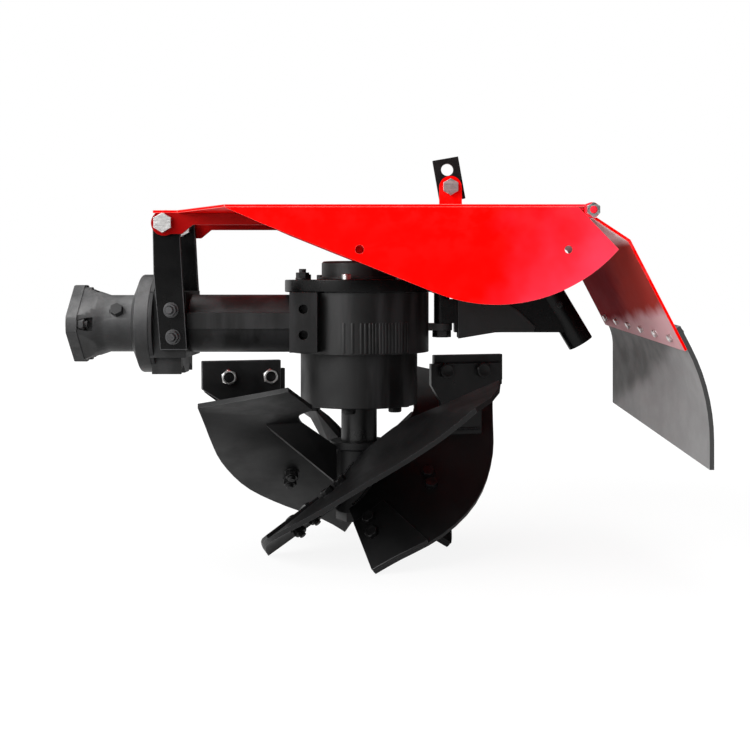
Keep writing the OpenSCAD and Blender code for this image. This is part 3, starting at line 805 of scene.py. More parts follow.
class EffectShelf:
    """Builds the shared node groups once and hands them out."""

    sharp_edge: ClassVar[Span] = (0.53, 0.62)
    rub_patches: ClassVar[Span] = (0.42, 0.62)
    looks_up: ClassVar[Span] = (-0.2, 1.0)
    dust_by_slope: ClassVar[Span] = (0.12, 1.0)
    dust_clouds: ClassVar[Span] = (0.38, 0.72)

    def __init__(self) -> None:
        """Builds every group."""
        self.groups = {Effect.RELIEF: self._relief(), Effect.RUB: self._rub(), Effect.DUST: self._dust(),
                       Effect.STREAK: self._streaks()}

    @staticmethod
    def _start(effect: Effect, inputs: dict[str, float],
               output: str) -> tuple[Desk, bpy.types.NodeOutputs, Socket]:
        """Starts a group with a vector input, number inputs and one value that comes out.

        Args:
            effect: Which effect it is.
            inputs: Name and first value of each number input.
            output: Name of the output.

        Returns:
            The group's desk, the values that come in and the socket of the one that goes out.
        """
        group = bpy.data.node_groups.new(effect.value, "ShaderNodeTree")
        group.interface.new_socket(name="Vector", in_out="INPUT", socket_type="NodeSocketVector")
        for name, value in inputs.items():
            socket = group.interface.new_socket(name=name, in_out="INPUT", socket_type="NodeSocketFloat")
            socket.default_value = value
        group.interface.new_socket(name=output, in_out="OUTPUT", socket_type="NodeSocketFloat")
        come = group.nodes.new("NodeGroupInput").outputs
        return Desk(group), come, group.nodes.new("NodeGroupOutput").inputs[0]

    def _relief(self) -> bpy.types.NodeTree:
        """Ripple of sprayed paint over a finer grain.

        Returns:
            The group.
        """
        desk, come, go = self._start(Effect.RELIEF, {"Ripple": 60.0, "Grain": 900.0, "Share": 0.3}, "Height")
        ripple = desk.noise(come["Vector"], come["Ripple"], 2.0)
        grain = desk.noise(come["Vector"], come["Grain"], 4.0, 0.6)
        desk.join(desk.maths("ADD", ripple, desk.maths("MULTIPLY", grain, come["Share"])), go)
        return desk.tree

    def _rub(self) -> bpy.types.NodeTree:
        """Edges where handling has thinned the paint, in patches.

        Returns:
            The group.
        """
        desk, come, go = self._start(Effect.RUB, {"Amount": 0.5, "Patch": 45.0}, "Mask")
        edge = desk.spread(desk.add("NewGeometry").outputs["Pointiness"], self.sharp_edge)
        patch = desk.spread(desk.noise(come["Vector"], come["Patch"], 5.0, 0.65), self.rub_patches)
        both = desk.maths("MULTIPLY", edge, patch)
        desk.join(desk.maths("MULTIPLY", both, come["Amount"], True), go)
        return desk.tree

    def _dust(self) -> bpy.types.NodeTree:
        """Dust that settles on faces that look up, in soft clouds; with a large share it also stands for
        painted top light.

        Returns:
            The group.
        """
        desk, come, go = self._start(Effect.DUST, {"Amount": 0.3, "Cloud": 14.0}, "Mask")
        slope = desk.split(desk.add("TexCoord").outputs["Normal"])["Z"]
        upward = desk.spread(slope, self.looks_up, self.dust_by_slope)
        cloud = desk.spread(desk.noise(come["Vector"], come["Cloud"], 6.0, 0.62), self.dust_clouds)
        both = desk.maths("MULTIPLY", upward, cloud)
        desk.join(desk.maths("MULTIPLY", both, come["Amount"], True), go)
        return desk.tree

    def _streaks(self) -> bpy.types.NodeTree:
        """Fine lines that run one way, as rolling and grinding leave them.

        Returns:
            The group.
        """
        desk, come, go = self._start(Effect.STREAK, {"Fine": 700.0, "Long": 12.0}, "Value")
        place = desk.split(come["Vector"])
        merge = desk.add("CombineXYZ")
        for axis, pitch in (("X", "Long"), ("Y", "Long"), ("Z", "Fine")):
            desk.join(desk.maths("MULTIPLY", place[axis], come[pitch]), merge.inputs[axis])
        desk.join(desk.noise(merge.outputs[0], 1.0, 4.0, 0.6), go)
        return desk.tree

    def place(self, desk: Desk, effect: Effect, vector: Socket, **values: float) -> Socket:
        """Puts an effect in a material.

        Args:
            desk: The material's desk.
            effect: Which effect.
            vector: Place that the effect reads.
            **values: The effect's own values.

        Returns:
            What the effect puts out.
        """
        node = desk.add("Group")
        node.node_tree = self.groups[effect]
        desk.join(vector, node.inputs["Vector"])
        for name, value in values.items():
            node.inputs[name].default_value = value
        return node.outputs[0]


@dataclass(frozen=True)
class Shade:
    """Painted light and shade: a tint that comes in along a slanted direction, in soft patches."""

    colour: Colour
    direction: Point
    start: float
    end: float
    amount: float = 1.0
    patch: float = 0.0
    facing: Point | None = None
    turned: ClassVar[Span] = (0.2, 0.6)

    def mask(self, desk: Desk) -> Socket:
        """Share of the tint over the surface.

        Args:
            desk: The material's desk.

        Returns:
            The share.
        """
        spot = desk.add("TexCoord").outputs
        reach = desk.dot(spot["Object"], self.direction)
        if self.patch:
            cloud = desk.maths("SUBTRACT", desk.noise(spot["Object"], self.patch), 0.5)
            reach = desk.maths("ADD", reach, desk.maths("MULTIPLY", cloud, abs(self.end - self.start)))
        share = desk.maths("MULTIPLY", desk.spread(reach, (self.start, self.end)), self.amount)
        if self.facing:
            look = desk.dot(spot["Normal"], self.facing)
            share = desk.maths("MULTIPLY", share, desk.spread(look, self.turned))
        return share


class Mixture:
    """A material in the making, with its shader and the place that its patterns read."""

    def __init__(self, name: str) -> None:
        """Starts the material.

        Args:
            name: Name of the material.
        """
        self.material = bpy.data.materials.new(name)
        self.material.use_nodes = True
        self.desk = Desk(self.material.node_tree)
        self.shader = self.material.node_tree.nodes["Principled BSDF"].inputs
        self.place = self.desk.add("TexCoord").outputs["Object"]

    def tint(self, colour: Socket, shades: Sequence[Shade]) -> Socket:
        """Lays tints of painted light and shade over a colour.

        Args:
            colour: The colour below them.
            shades: The tints of painted light and shade, in order.

        Returns:
            The tinted colour.
        """
        for shade in shades:
            colour = self.desk.mix(shade.mask(self.desk), colour, shade.colour)
        return colour

    def raise_by(self, height: Socket, distance: float) -> None:
        """Gives the surface its relief.

        Args:
            height: Height over the surface, from 0 to 1.
            distance: Height that 1 stands for.
        """
        bump = self.desk.add("Bump", Distance=distance)
        self.desk.join(height, bump.inputs["Height"])
        self.desk.join(bump.outputs["Normal"], self.shader["Normal"])


@dataclass(frozen=True)
class Paint:
    """Sprayed paint on metal.

    A share of the gloss fades away on faces that look back and down, away from the key lamp: painted shade.
    Soft upright stripes of a lighter colour are painted reflections, and a large dusting also stands for
    painted top light.
    """

    name: str
    colour: Colour
    cloud_colour: Colour
    rub_and_reflection_colour: Colour
    dust_and_top_light_colour: Colour = (0.20, 0.19, 0.18)
    roughness: float = 0.35
    roughness_swing: float = 0.08
    ripple: float = 60.0
    grain: float = 900.0
    grain_share: float = 0.3
    relief: float = 0.00012
    rub: float = 0.4
    # Dusting on faces that look up; a large share with a pale colour also stands for painted top light
    dust_and_top_light: float = 0.12
    # Share of soft upright stripes of a lighter colour: painted reflections
    painted_reflection_bands: float = 0.0
    gloss: float = 0.5
    # Share of the gloss taken off faces turned away from the key lamp: painted shade
    painted_lee_shade: float = 0.0
    shades: tuple[Shade, ...] = ()
    clouds: ClassVar[Cloud] = Cloud(9.0, 4.0, 0.55, (0.35, 0.7))
    smears: ClassVar[Cloud] = Cloud(22.0, 5.0, 0.6, (0.3, 0.7))
    band_fine: ClassVar[float] = 3.0
    band_long: ClassVar[float] = 26.0
    band_span: ClassVar[Span] = (0.44, 0.60)
    dust_dulls: ClassVar[float] = 0.5
    painted_shade_direction: ClassVar[Point] = (0.9, 0.0, -0.45)
    painted_shade_span: ClassVar[Span] = (-0.5, 0.6)

    def build(self, shelf: EffectShelf) -> bpy.types.Material:
        """Makes the material.

        Args:
            shelf: The shared effects.

        Returns:
            The material.
        """
        mixture = Mixture(self.name)
        desk, shader, place = mixture.desk, mixture.shader, mixture.place
        colour = desk.mix(self.clouds.over(desk, place), self.colour, self.cloud_colour)
        # Painted reflections: soft upright stripes of a lighter colour
        upright = shelf.place(desk, Effect.STREAK, place, Fine=self.band_fine, Long=self.band_long)
        painted_reflection_bands = desk.maths("MULTIPLY", desk.spread(upright, self.band_span), self.painted_reflection_bands)
        colour = mixture.tint(desk.mix(painted_reflection_bands, colour, self.rub_and_reflection_colour), self.shades)
        # Dusting on faces that look up, which with a large share also stands for painted top light
        dust_and_top_light = shelf.place(desk, Effect.DUST, place, Amount=self.dust_and_top_light)
        colour = desk.mix(dust_and_top_light, colour, self.dust_and_top_light_colour)
        rub = shelf.place(desk, Effect.RUB, place, Amount=self.rub)
        desk.join(desk.mix(rub, colour, self.rub_and_reflection_colour), shader["Base Color"])
        rough = self.smears.over(desk, place, (self.roughness - self.roughness_swing,
                                               self.roughness + self.roughness_swing))
        dulled = desk.maths("ADD", rough, desk.maths("MULTIPLY", dust_and_top_light, self.dust_dulls), True)
        desk.join(dulled, shader["Roughness"])
        mixture.raise_by(shelf.place(desk, Effect.RELIEF, place, Ripple=self.ripple, Grain=self.grain,
                                     Share=self.grain_share), self.relief)
        shader["Specular IOR Level"].default_value = self.gloss
        # Painted shade: the gloss fades on faces turned back and down, away from the key lamp
        if self.painted_lee_shade:
            turned = desk.dot(desk.add("TexCoord").outputs["Normal"], self.painted_shade_direction)
            painted_shade_gloss = desk.spread(turned, self.painted_shade_span, (self.gloss, self.gloss * (1.0 - self.painted_lee_shade)))
            desk.join(painted_shade_gloss, shader["Specular IOR Level"])
        return mixture.material


@dataclass(frozen=True)
class PlatedSteel:
    """Zinc-plated or bare turned steel."""

    name: str
    colour: Colour
    dull_colour: Colour
    dust_and_top_light_colour: Colour = (0.30, 0.28, 0.26)
    roughness: float = 0.32
    smoother: float = 0.08
    rougher: float = 0.14
    relief: float = 0.00003
    spangle: ClassVar[Cloud] = Cloud(260.0, 4.0, 0.6, (0.38, 0.66))
    line_span: ClassVar[Span] = (0.25, 0.75)

    def build(self, shelf: EffectShelf) -> bpy.types.Material:
        """Makes the material.

        Args:
            shelf: The shared effects.

        Returns:
            The material.
        """
        mixture = Mixture(self.name)
        desk, shader, place = mixture.desk, mixture.shader, mixture.place
        colour = desk.mix(self.spangle.over(desk, place), self.colour, self.dull_colour)
        dust_and_top_light = shelf.place(desk, Effect.DUST, place, Amount=0.25, Cloud=60.0)
        desk.join(desk.mix(dust_and_top_light, colour, self.dust_and_top_light_colour), shader["Base Color"])
        lines = shelf.place(desk, Effect.STREAK, place, Fine=900.0, Long=40.0)
        rough = (self.roughness - self.smoother, self.roughness + self.rougher)
        desk.join(desk.spread(lines, self.line_span, rough), shader["Roughness"])
        mixture.raise_by(lines, self.relief)
        shader["Metallic"].default_value = 1.0
        return mixture.material


@dataclass(frozen=True)
class Rubber:
    """Moulded or calendered rubber."""

    name: str
    colour: Colour
    bloom_colour: Colour
    roughness: float
    shades: tuple[Shade, ...] = ()
    dust_and_top_light_colour: Colour = (0.28, 0.27, 0.26)
    smoother: float = 0.08
    rougher: float = 0.1
    relief: float = 0.00008
    bloom: ClassVar[Cloud] = Cloud(16.0, 6.0, 0.6, (0.3, 0.75))
    smears: ClassVar[Cloud] = Cloud(40.0, 4.0, 0.5, (0.3, 0.7))

    def build(self, shelf: EffectShelf) -> bpy.types.Material:
        """Makes the material.

        Args:
            shelf: The shared effects.

        Returns:
            The material.
        """
        mixture = Mixture(self.name)
        desk, shader, place = mixture.desk, mixture.shader, mixture.place
        colour = desk.mix(self.bloom.over(desk, place), self.colour, self.bloom_colour)
        colour = mixture.tint(colour, self.shades)
        dust_and_top_light = shelf.place(desk, Effect.DUST, place, Amount=0.12, Cloud=9.0)
        desk.join(desk.mix(dust_and_top_light, colour, self.dust_and_top_light_colour), shader["Base Color"])
        rough = (self.roughness - self.smoother, self.roughness + self.rougher)
        desk.join(self.smears.over(desk, place, rough), shader["Roughness"])
        mixture.raise_by(shelf.place(desk, Effect.RELIEF, place, Ripple=110.0, Grain=1600.0, Share=0.5),
                         self.relief)
        return mixture.material


class PaintShop:
    """Holds the finished materials by the surface that they belong to."""

    flap_inside: ClassVar[Point] = (-0.8, 0.0, -0.6)
    sheet_inside: ClassVar[Point] = (-1.0, 0.0, 0.0)
    everywhere: ClassVar[Span] = (-1.0, -0.9)

    def __init__(self) -> None:
        """Mixes every finish."""
        shelf = EffectShelf()
        recipes = {**self._blacks(), **self._reds(), **self._others()}
        self.materials = {surface: recipe.build(shelf) for surface, recipe in recipes.items()}
        for surface, material in self.materials.items():
            LOG.info("finish %s: %d nodes", surface.name, len(material.node_tree.nodes))

    @staticmethod
    def _blacks() -> dict[Surface, Paint]:
        """Recipes of the black and grey paints.

        Returns:
            The recipes by surface.
        """
        # Painted shade: the neck darkens towards its underside
        neck_painted_underside_shade = Shade((0.004, 0.004, 0.004), (0.0, 0.0, -1.0), 0.0, 0.026, 0.95)
        return {
            # In this finish and the ones below that set it, the gloss fading on faces turned from the key
            # lamp is painted shade
            Surface.CASTING: Paint(
                "casting_black", (0.0036, 0.0036, 0.0037), (0.0062, 0.0062, 0.0063), (0.026, 0.026, 0.027),
                # Soft upright stripes of a lighter colour on the castings: painted reflections
                roughness=0.42, ripple=95.0, grain_share=0.45, relief=0.00020, rub=0.4, dust_and_top_light=0.03, painted_reflection_bands=0.6,
                gloss=0.44, painted_lee_shade=0.85),
            Surface.PLATE: Paint(
                "plate_black", (0.0040, 0.0040, 0.0042), (0.0065, 0.0065, 0.0066), (0.028, 0.028, 0.029),
                roughness=0.34, rub=0.3, dust_and_top_light=0.02, gloss=0.42, painted_lee_shade=0.7),
            Surface.BLADE: Paint(
                "blade_black", (0.0040, 0.0040, 0.0042), (0.0070, 0.0070, 0.0073), (0.028, 0.028, 0.030),
                roughness=0.46, ripple=18.0, grain_share=0.05, relief=0.00006, rub=0.3, dust_and_top_light=0.01,
                gloss=0.22),
            # A darker copy of the black for parts in shade (the straps, top cover, arm bar and skid tube):
            # painted shade
            Surface.DEEP: Paint(
                "painted_shade_black", (0.0012, 0.0012, 0.0013), (0.0026, 0.0026, 0.0027), (0.012, 0.012, 0.013),
                roughness=0.26, rub=0.2, dust_and_top_light=0.01, gloss=0.20, painted_lee_shade=0.7),
            # Lighter black for broken edges and the strap nuts: painted edge highlights
            Surface.BLACK_EDGE: Paint(
                "black_edge_highlight", (0.016, 0.016, 0.017), (0.042, 0.042, 0.044), (0.12, 0.12, 0.12),
                roughness=0.38, rub=0.2, dust_and_top_light=0.0),
            # Heavy dusting with a pale colour lightens the neck's upward faces: painted top light as well as
            # dusting
            Surface.NECK: Paint(
                "neck_grey", (0.009, 0.009, 0.010), (0.018, 0.018, 0.019), (0.10, 0.10, 0.10),
                (0.30, 0.30, 0.30),
                roughness=0.44, ripple=130.0, grain=700.0, grain_share=0.7, relief=0.0003, rub=0.4, dust_and_top_light=0.55,
                painted_lee_shade=0.5, shades=(neck_painted_underside_shade,)),
        }

    def _reds(self) -> dict[Surface, Paint]:
        """Recipes of the red paints.

        Returns:
            The recipes by surface.
        """
        # Painted reflections on the near side plate: a pink tint towards the rear and a paler pink one near
        # its end
        hood_painted_reflections = (
            Shade((0.90, 0.055, 0.105), (1.0, 0.0, -0.45), 0.43, 0.58, 0.9, 16.0, NEARWARDS),
            Shade((0.92, 0.30, 0.30), (1.0, 0.0, -0.25), 0.57, 0.66, 0.6, 70.0, NEARWARDS))
        # Painted shade: the ear arms darken towards the back and up, where the hood's top overhangs them
        ear_painted_shade = Shade((0.26, 0.006, 0.005), (1.0, 0.0, 0.3), 0.145, 0.215, 0.9)
        # Painted light and shade on the flap's inner faces: a dark shade all over, a brownish reflection
        # towards the near side and down, pale glare low down and a pale highlight in a strip near the top
        flap_painted_light_and_shade = (
            Shade((0.16, 0.006, 0.010), BACKWARDS, *self.everywhere, facing=self.flap_inside),
            Shade((0.37, 0.040, 0.028), (0.0, -1.0, -0.5), -0.06, 0.04, 0.75, 24.0, self.flap_inside),
            Shade((0.60, 0.38, 0.40), (0.0, -0.08, -1.0), -0.016, 0.002, 0.95, 30.0, self.flap_inside),
            Shade((0.95, 0.70, 0.70), UP, 0.083, 0.094, facing=self.flap_inside))
        return {
            Surface.HOOD: Paint(
                "hood_red", (0.90, 0.0010, 0.0003), (0.88, 0.0008, 0.0003), (0.88, 0.10, 0.10),
                (0.70, 0.10, 0.10),
                roughness=0.32, roughness_swing=0.03, ripple=35.0, grain_share=0.1, relief=0.00008, rub=0.3,
                dust_and_top_light=0.008, gloss=0.02, shades=hood_painted_reflections),
            # A much darker copy of the hood's red for the ear arms, which sit in the shade of the hood's top:
            # painted shade
            Surface.EAR: Paint(
                "ear_red_painted_shade", (0.27, 0.001, 0.001), (0.23, 0.001, 0.001), (0.60, 0.03, 0.03), (0.30, 0.03, 0.03),
                roughness=0.34, ripple=35.0, grain_share=0.1, relief=0.00008, rub=0.3, dust_and_top_light=0.02, gloss=0.02,
                shades=(ear_painted_shade,)),
            Surface.FLAP: Paint(
                "flap_red", (0.88, 0.0015, 0.0005), (0.86, 0.0012, 0.0005), (0.85, 0.12, 0.12),
                (0.60, 0.12, 0.12),
                roughness=0.45, roughness_swing=0.05, ripple=30.0, grain_share=0.1, relief=0.00006, rub=0.2,
                dust_and_top_light=0.02, gloss=0.002, shades=flap_painted_light_and_shade),
            # Paler red for the hood's broken edges: painted edge highlights
            Surface.RED_EDGE: Paint(
                "red_edge_highlight", (0.88, 0.10, 0.09), (0.90, 0.24, 0.22), (0.92, 0.45, 0.42),
                roughness=0.3, rub=0.5, dust_and_top_light=0.0, gloss=0.3),
        }

    def _others(self) -> dict[Surface, PlatedSteel | Rubber]:
        """Recipes of the steel and the rubbers.

        Returns:
            The recipes by surface.
        """
        # Painted shadow of the flap on the rubber's inner face, towards its top and far side; and a darker
        # tone on faces that look to the near side
        rubber_painted_shadow_and_dark_edge = (
            Shade((0.050, 0.051, 0.048), (0.0, 0.35, 1.0), -0.066, -0.038, 0.85, 26.0, self.sheet_inside),
            Shade((0.035, 0.035, 0.035), BACKWARDS, *self.everywhere, facing=NEARWARDS))
        return {
            Surface.ZINC: PlatedSteel("zinc_plate", (0.78, 0.77, 0.76), (0.62, 0.61, 0.60)),
            Surface.RUBBER: Rubber("flap_rubber", (0.21, 0.21, 0.21), (0.26, 0.26, 0.26), 0.6, rubber_painted_shadow_and_dark_edge),
            Surface.SEAL: Rubber("seal_rubber", (0.008, 0.008, 0.008), (0.012, 0.012, 0.012), 0.45),
        }

    def dress(self, piece: Piece, surface: Surface, rim: Surface | None = None) -> None:
        """Gives a piece its finish, and its broken edges another one.

        Args:
            piece: The piece, whose faces on broken edges have material index 1.
            surface: Its finish.
            rim: Finish of its broken edges, where they differ.
        """
        marks = [face.material_index for face in piece.data.polygons]
        piece.data.materials.clear()
        piece.data.materials.append(self.materials[surface])
        if rim:
            piece.data.materials.append(self.materials[rim])
            piece.data.polygons.foreach_set("material_index", marks)


@dataclass
class SubAssembly:
    """A group of pieces that are fitted and painted together."""

    kit: FastenerKit
    shop: PaintShop
    merge_within: ClassVar[float] = 0.00001
    flat_below: ClassVar[float] = 0.2
    smooth_below: ClassVar[float] = 40.0
    face_weight: ClassVar[int] = 60

    def settle(self, piece: Piece, surface: Surface, body: Body, rim: Surface | None = None) -> None:
        """Paints a new piece and puts it on its body.

        Args:
            piece: The finished piece.
            surface: Its finish.
            body: The body it rides on.
            rim: Finish of its broken edges, where they differ.
        """
        self.shop.dress(piece, surface, rim)
        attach(piece, body.value)
        LOG.info("%s on %s: %d faces", piece.name, body.value, len(piece.data.polygons))

    def put(self, name: str, pattern: Mesh, places: Iterable[Matrix], surface: Surface, body: Body) -> None:
        """Copies a pattern to each place and settles the copies as one piece."""
        self.settle(Bench.stamp(name, pattern, places), surface, body)

    def fasten(self, name: str, fastener: Fastener, places: Iterable[Matrix], surface: Surface,
               body: Body) -> None:
        """Copies a fastener to each place and settles the copies as one piece."""
        self.put(name, self.kit.patterns[fastener], places, surface, body)

    def keep(self, node: str, surface: Surface) -> None:
        """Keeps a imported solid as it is, under a new finish.

        Args:
            node: Name of the solid.
            surface: Its finish.
        """
        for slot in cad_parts[node].material_slots:
            slot.link = "OBJECT"
            slot.material = self.shop.materials[surface]
        LOG.info("%s kept as packed", node)

    def skin(self, node: str, surface: Surface, body: Body, edge: float, degrees: float = 35.0,
             rim: Surface | None = None) -> None:
        """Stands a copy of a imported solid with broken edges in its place.

        Args:
            node: Name of the solid.
            surface: Its finish.
            body: The body it rides on.
            edge: Width of the broken edges.
            degrees: Edges sharper than this are broken.
            rim: Finish of the broken edges, where they differ.
        """
        piece = bpy.data.objects.new(node + "_skin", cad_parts[node].data.copy())
        piece.data.materials.clear()
        for _ in range(2):
            piece.data.materials.append(self.shop.materials[surface])
        bpy.context.scene.collection.objects.link(piece)
        with Bench.editing(piece, "VERT"):
            bpy.ops.mesh.select_all(action="SELECT")
            bpy.ops.mesh.customdata_custom_splitnormals_clear()
            bpy.ops.mesh.remove_doubles(threshold=self.merge_within)
            bpy.ops.mesh.dissolve_limited(angle_limit=math.radians(self.flat_below))
        Bench.modify(piece, "BEVEL", width=edge, segments=2, limit_method="ANGLE",
                     angle_limit=math.radians(degrees), use_clamp_overlap=True, material=1 if rim else 0)
        Bench.smooth(piece, self.smooth_below)
        Bench.modify(piece, "WEIGHTED_NORMAL", keep_sharp=True, weight=self.face_weight)
        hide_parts(node)
        self.settle(piece, surface, body, rim)


@dataclass
class DriveNeck(SubAssembly):
    """Cast neck that bolts to the tractor's drive, with the input shaft inside."""

    stud_count: int = 4
    stud_circle: float = 0.035
    nut_seat: float = 0.0112
    seal_x: float = 0.0602
    seal_outer: float = 0.0222
    seal_inner: float = 0.0127
    seal_thickness: float = 0.0016
    seal_rim: float = 0.0004

    def build(self) -> None:
        """Fits and paints the neck."""
        self.skin("drive_flange_neck", Surface.NECK, Body.HOUSING, edge=0.0012)
        self.skin("round_flange", Surface.NECK, Body.HOUSING, edge=0.0016)
        self.skin("neck_plug", Surface.CASTING, Body.HOUSING, edge=0.0006)
        self.skin("input_claw_shaft", Surface.ZINC, Body.INPUT, edge=0.0007)
        studs = Bench.ring_of(self.stud_count, self.stud_circle, (self.nut_seat, 0, 0), BACKWARDS)
        self.fasten("flange_nuts", Fastener.NUT, studs, Surface.NECK, Body.HOUSING)
        seal = self.kit.ring(self.seal_outer, self.seal_inner, self.seal_thickness, self.seal_rim)
        place = Bench.facing((self.seal_x, 0, 0), BACKWARDS)
        self.put("input_seal", Bench.as_pattern(seal), [place], Surface.SEAL, Body.HOUSING)


@dataclass
class Gearbox(SubAssembly):
    """Beam, gearbox, its cover and the rotor's bearing housing."""

    screw_count: int = 6
    cover_top: float = 0.050
    cover_screw_circle: float = 0.062
    cover_screw_start: float = -101.0
    bearing_foot: float = -0.092
    foot_screw_circle: float = 0.054
    foot_screw_start: float = 20.0
    seal_outer: float = 0.036
    seal_inner: float = 0.0212
    seal_thickness: float = 0.003
    seal_rim: float = 0.0007
    rib_angles: tuple[float, ...] = (-100, -93, -86, -82.5, -79, -76.5, -74, -71, -68.5, -66, -63, -60.5, -57,
                                     -54, -51.5, -48, -45)
    rib_low: float = -0.031
    rib_high: float = 0.003
    rib_radius: float = 0.0020
    rib_rim: float = 0.0012
    rib_flatness: float = 0.35
    rib_sides: int = 16
    rib_circle: float = 0.0797
    rib_smooth_below: float = 50.0

    def build(self) -> None:
        """Fits and paints the gearbox."""
        self.skin("gearbox_casting", Surface.CASTING, Body.HOUSING, edge=0.0016)
        self.skin("top_cover", Surface.DEEP, Body.HOUSING, edge=0.0012)
        self.skin("top_bearing_cap", Surface.CASTING, Body.HOUSING, edge=0.0008)
        self.skin("filler_plug", Surface.CASTING, Body.HOUSING, edge=0.0005)
        self.skin("rotor_bearing_housing", Surface.CASTING, Body.HOUSING, edge=0.0016)
        self.skin("arm_pin", Surface.PLATE, Body.HOUSING, edge=0.0006)
        cover = Bench.ring_of(self.screw_count, self.cover_screw_circle, (ROTOR_X, 0, self.cover_top), UP,
                              self.cover_screw_start)
        self.fasten("cover_screws", Fastener.SCREW, cover[1:], Surface.CASTING, Body.HOUSING)
        self.fasten("cover_vent_screw", Fastener.SCREW, cover[:1], Surface.ZINC, Body.HOUSING)
        foot = (ROTOR_X, 0, self.bearing_foot)
        screws = Bench.ring_of(self.screw_count, self.foot_screw_circle, foot, DOWN, self.foot_screw_start)
        self.fasten("bearing_screws", Fastener.BOLT, screws, Surface.CASTING, Body.HOUSING)
        seal = self.kit.ring(self.seal_outer, self.seal_inner, self.seal_thickness, self.seal_rim)
        self.put("shaft_seal", Bench.as_pattern(seal), [Bench.facing(foot, DOWN)], Surface.SEAL, Body.HOUSING)
        self.ribs()

    def ribs(self) -> None:
        """Shallow upright ribs on the near side of the gearbox."""
        rib = Bench.round_bar(self.rib_radius, self.rib_high - self.rib_low, self.rib_sides, self.rib_low)
        Bench.chamfer_rims(rib, [self.rib_low, self.rib_high], self.rib_rim)
        Bench.stretch(rib, (self.rib_flatness, 1.0, 1.0))
        centre = Matrix.Translation((ROTOR_X, 0, 0))
        out = Matrix.Translation((self.rib_circle, 0, 0))
        places = [centre @ Bench.turn_z(angle) @ out for angle in self.rib_angles]
        self.put("casting_ribs", Bench.as_pattern(rib, self.rib_smooth_below), places, Surface.CASTING,
                 Body.HOUSING)


@dataclass
class Straps(SubAssembly):
    """Straps that carry the hood, with their bolts."""

    outer_face: float = 0.050
    bolts: tuple[Span, ...] = ((0.1187, 0.0163), (0.1210, -0.0135))
    first_turn: float = 12.0
    turn_step: float = 20.0

    def build(self) -> None:
        """Fits and paints the straps."""
        for side, sign in (("left", -1), ("right", 1)):
            self.skin(side + "_strap", Surface.DEEP, Body.HOUSING, edge=0.0010, rim=Surface.BLACK_EDGE)
            self.skin(side + "_hood_pivot_bolt", Surface.ZINC, Body.HOUSING, edge=0.0008)
            places = [Bench.facing((x, sign * self.outer_face, z), (0, sign, 0),
                                   self.first_turn + self.turn_step * number)
                      for number, (x, z) in enumerate(self.bolts)]
            self.fasten(side + "_strap_nuts", Fastener.NUT, places, Surface.BLACK_EDGE, Body.HOUSING)


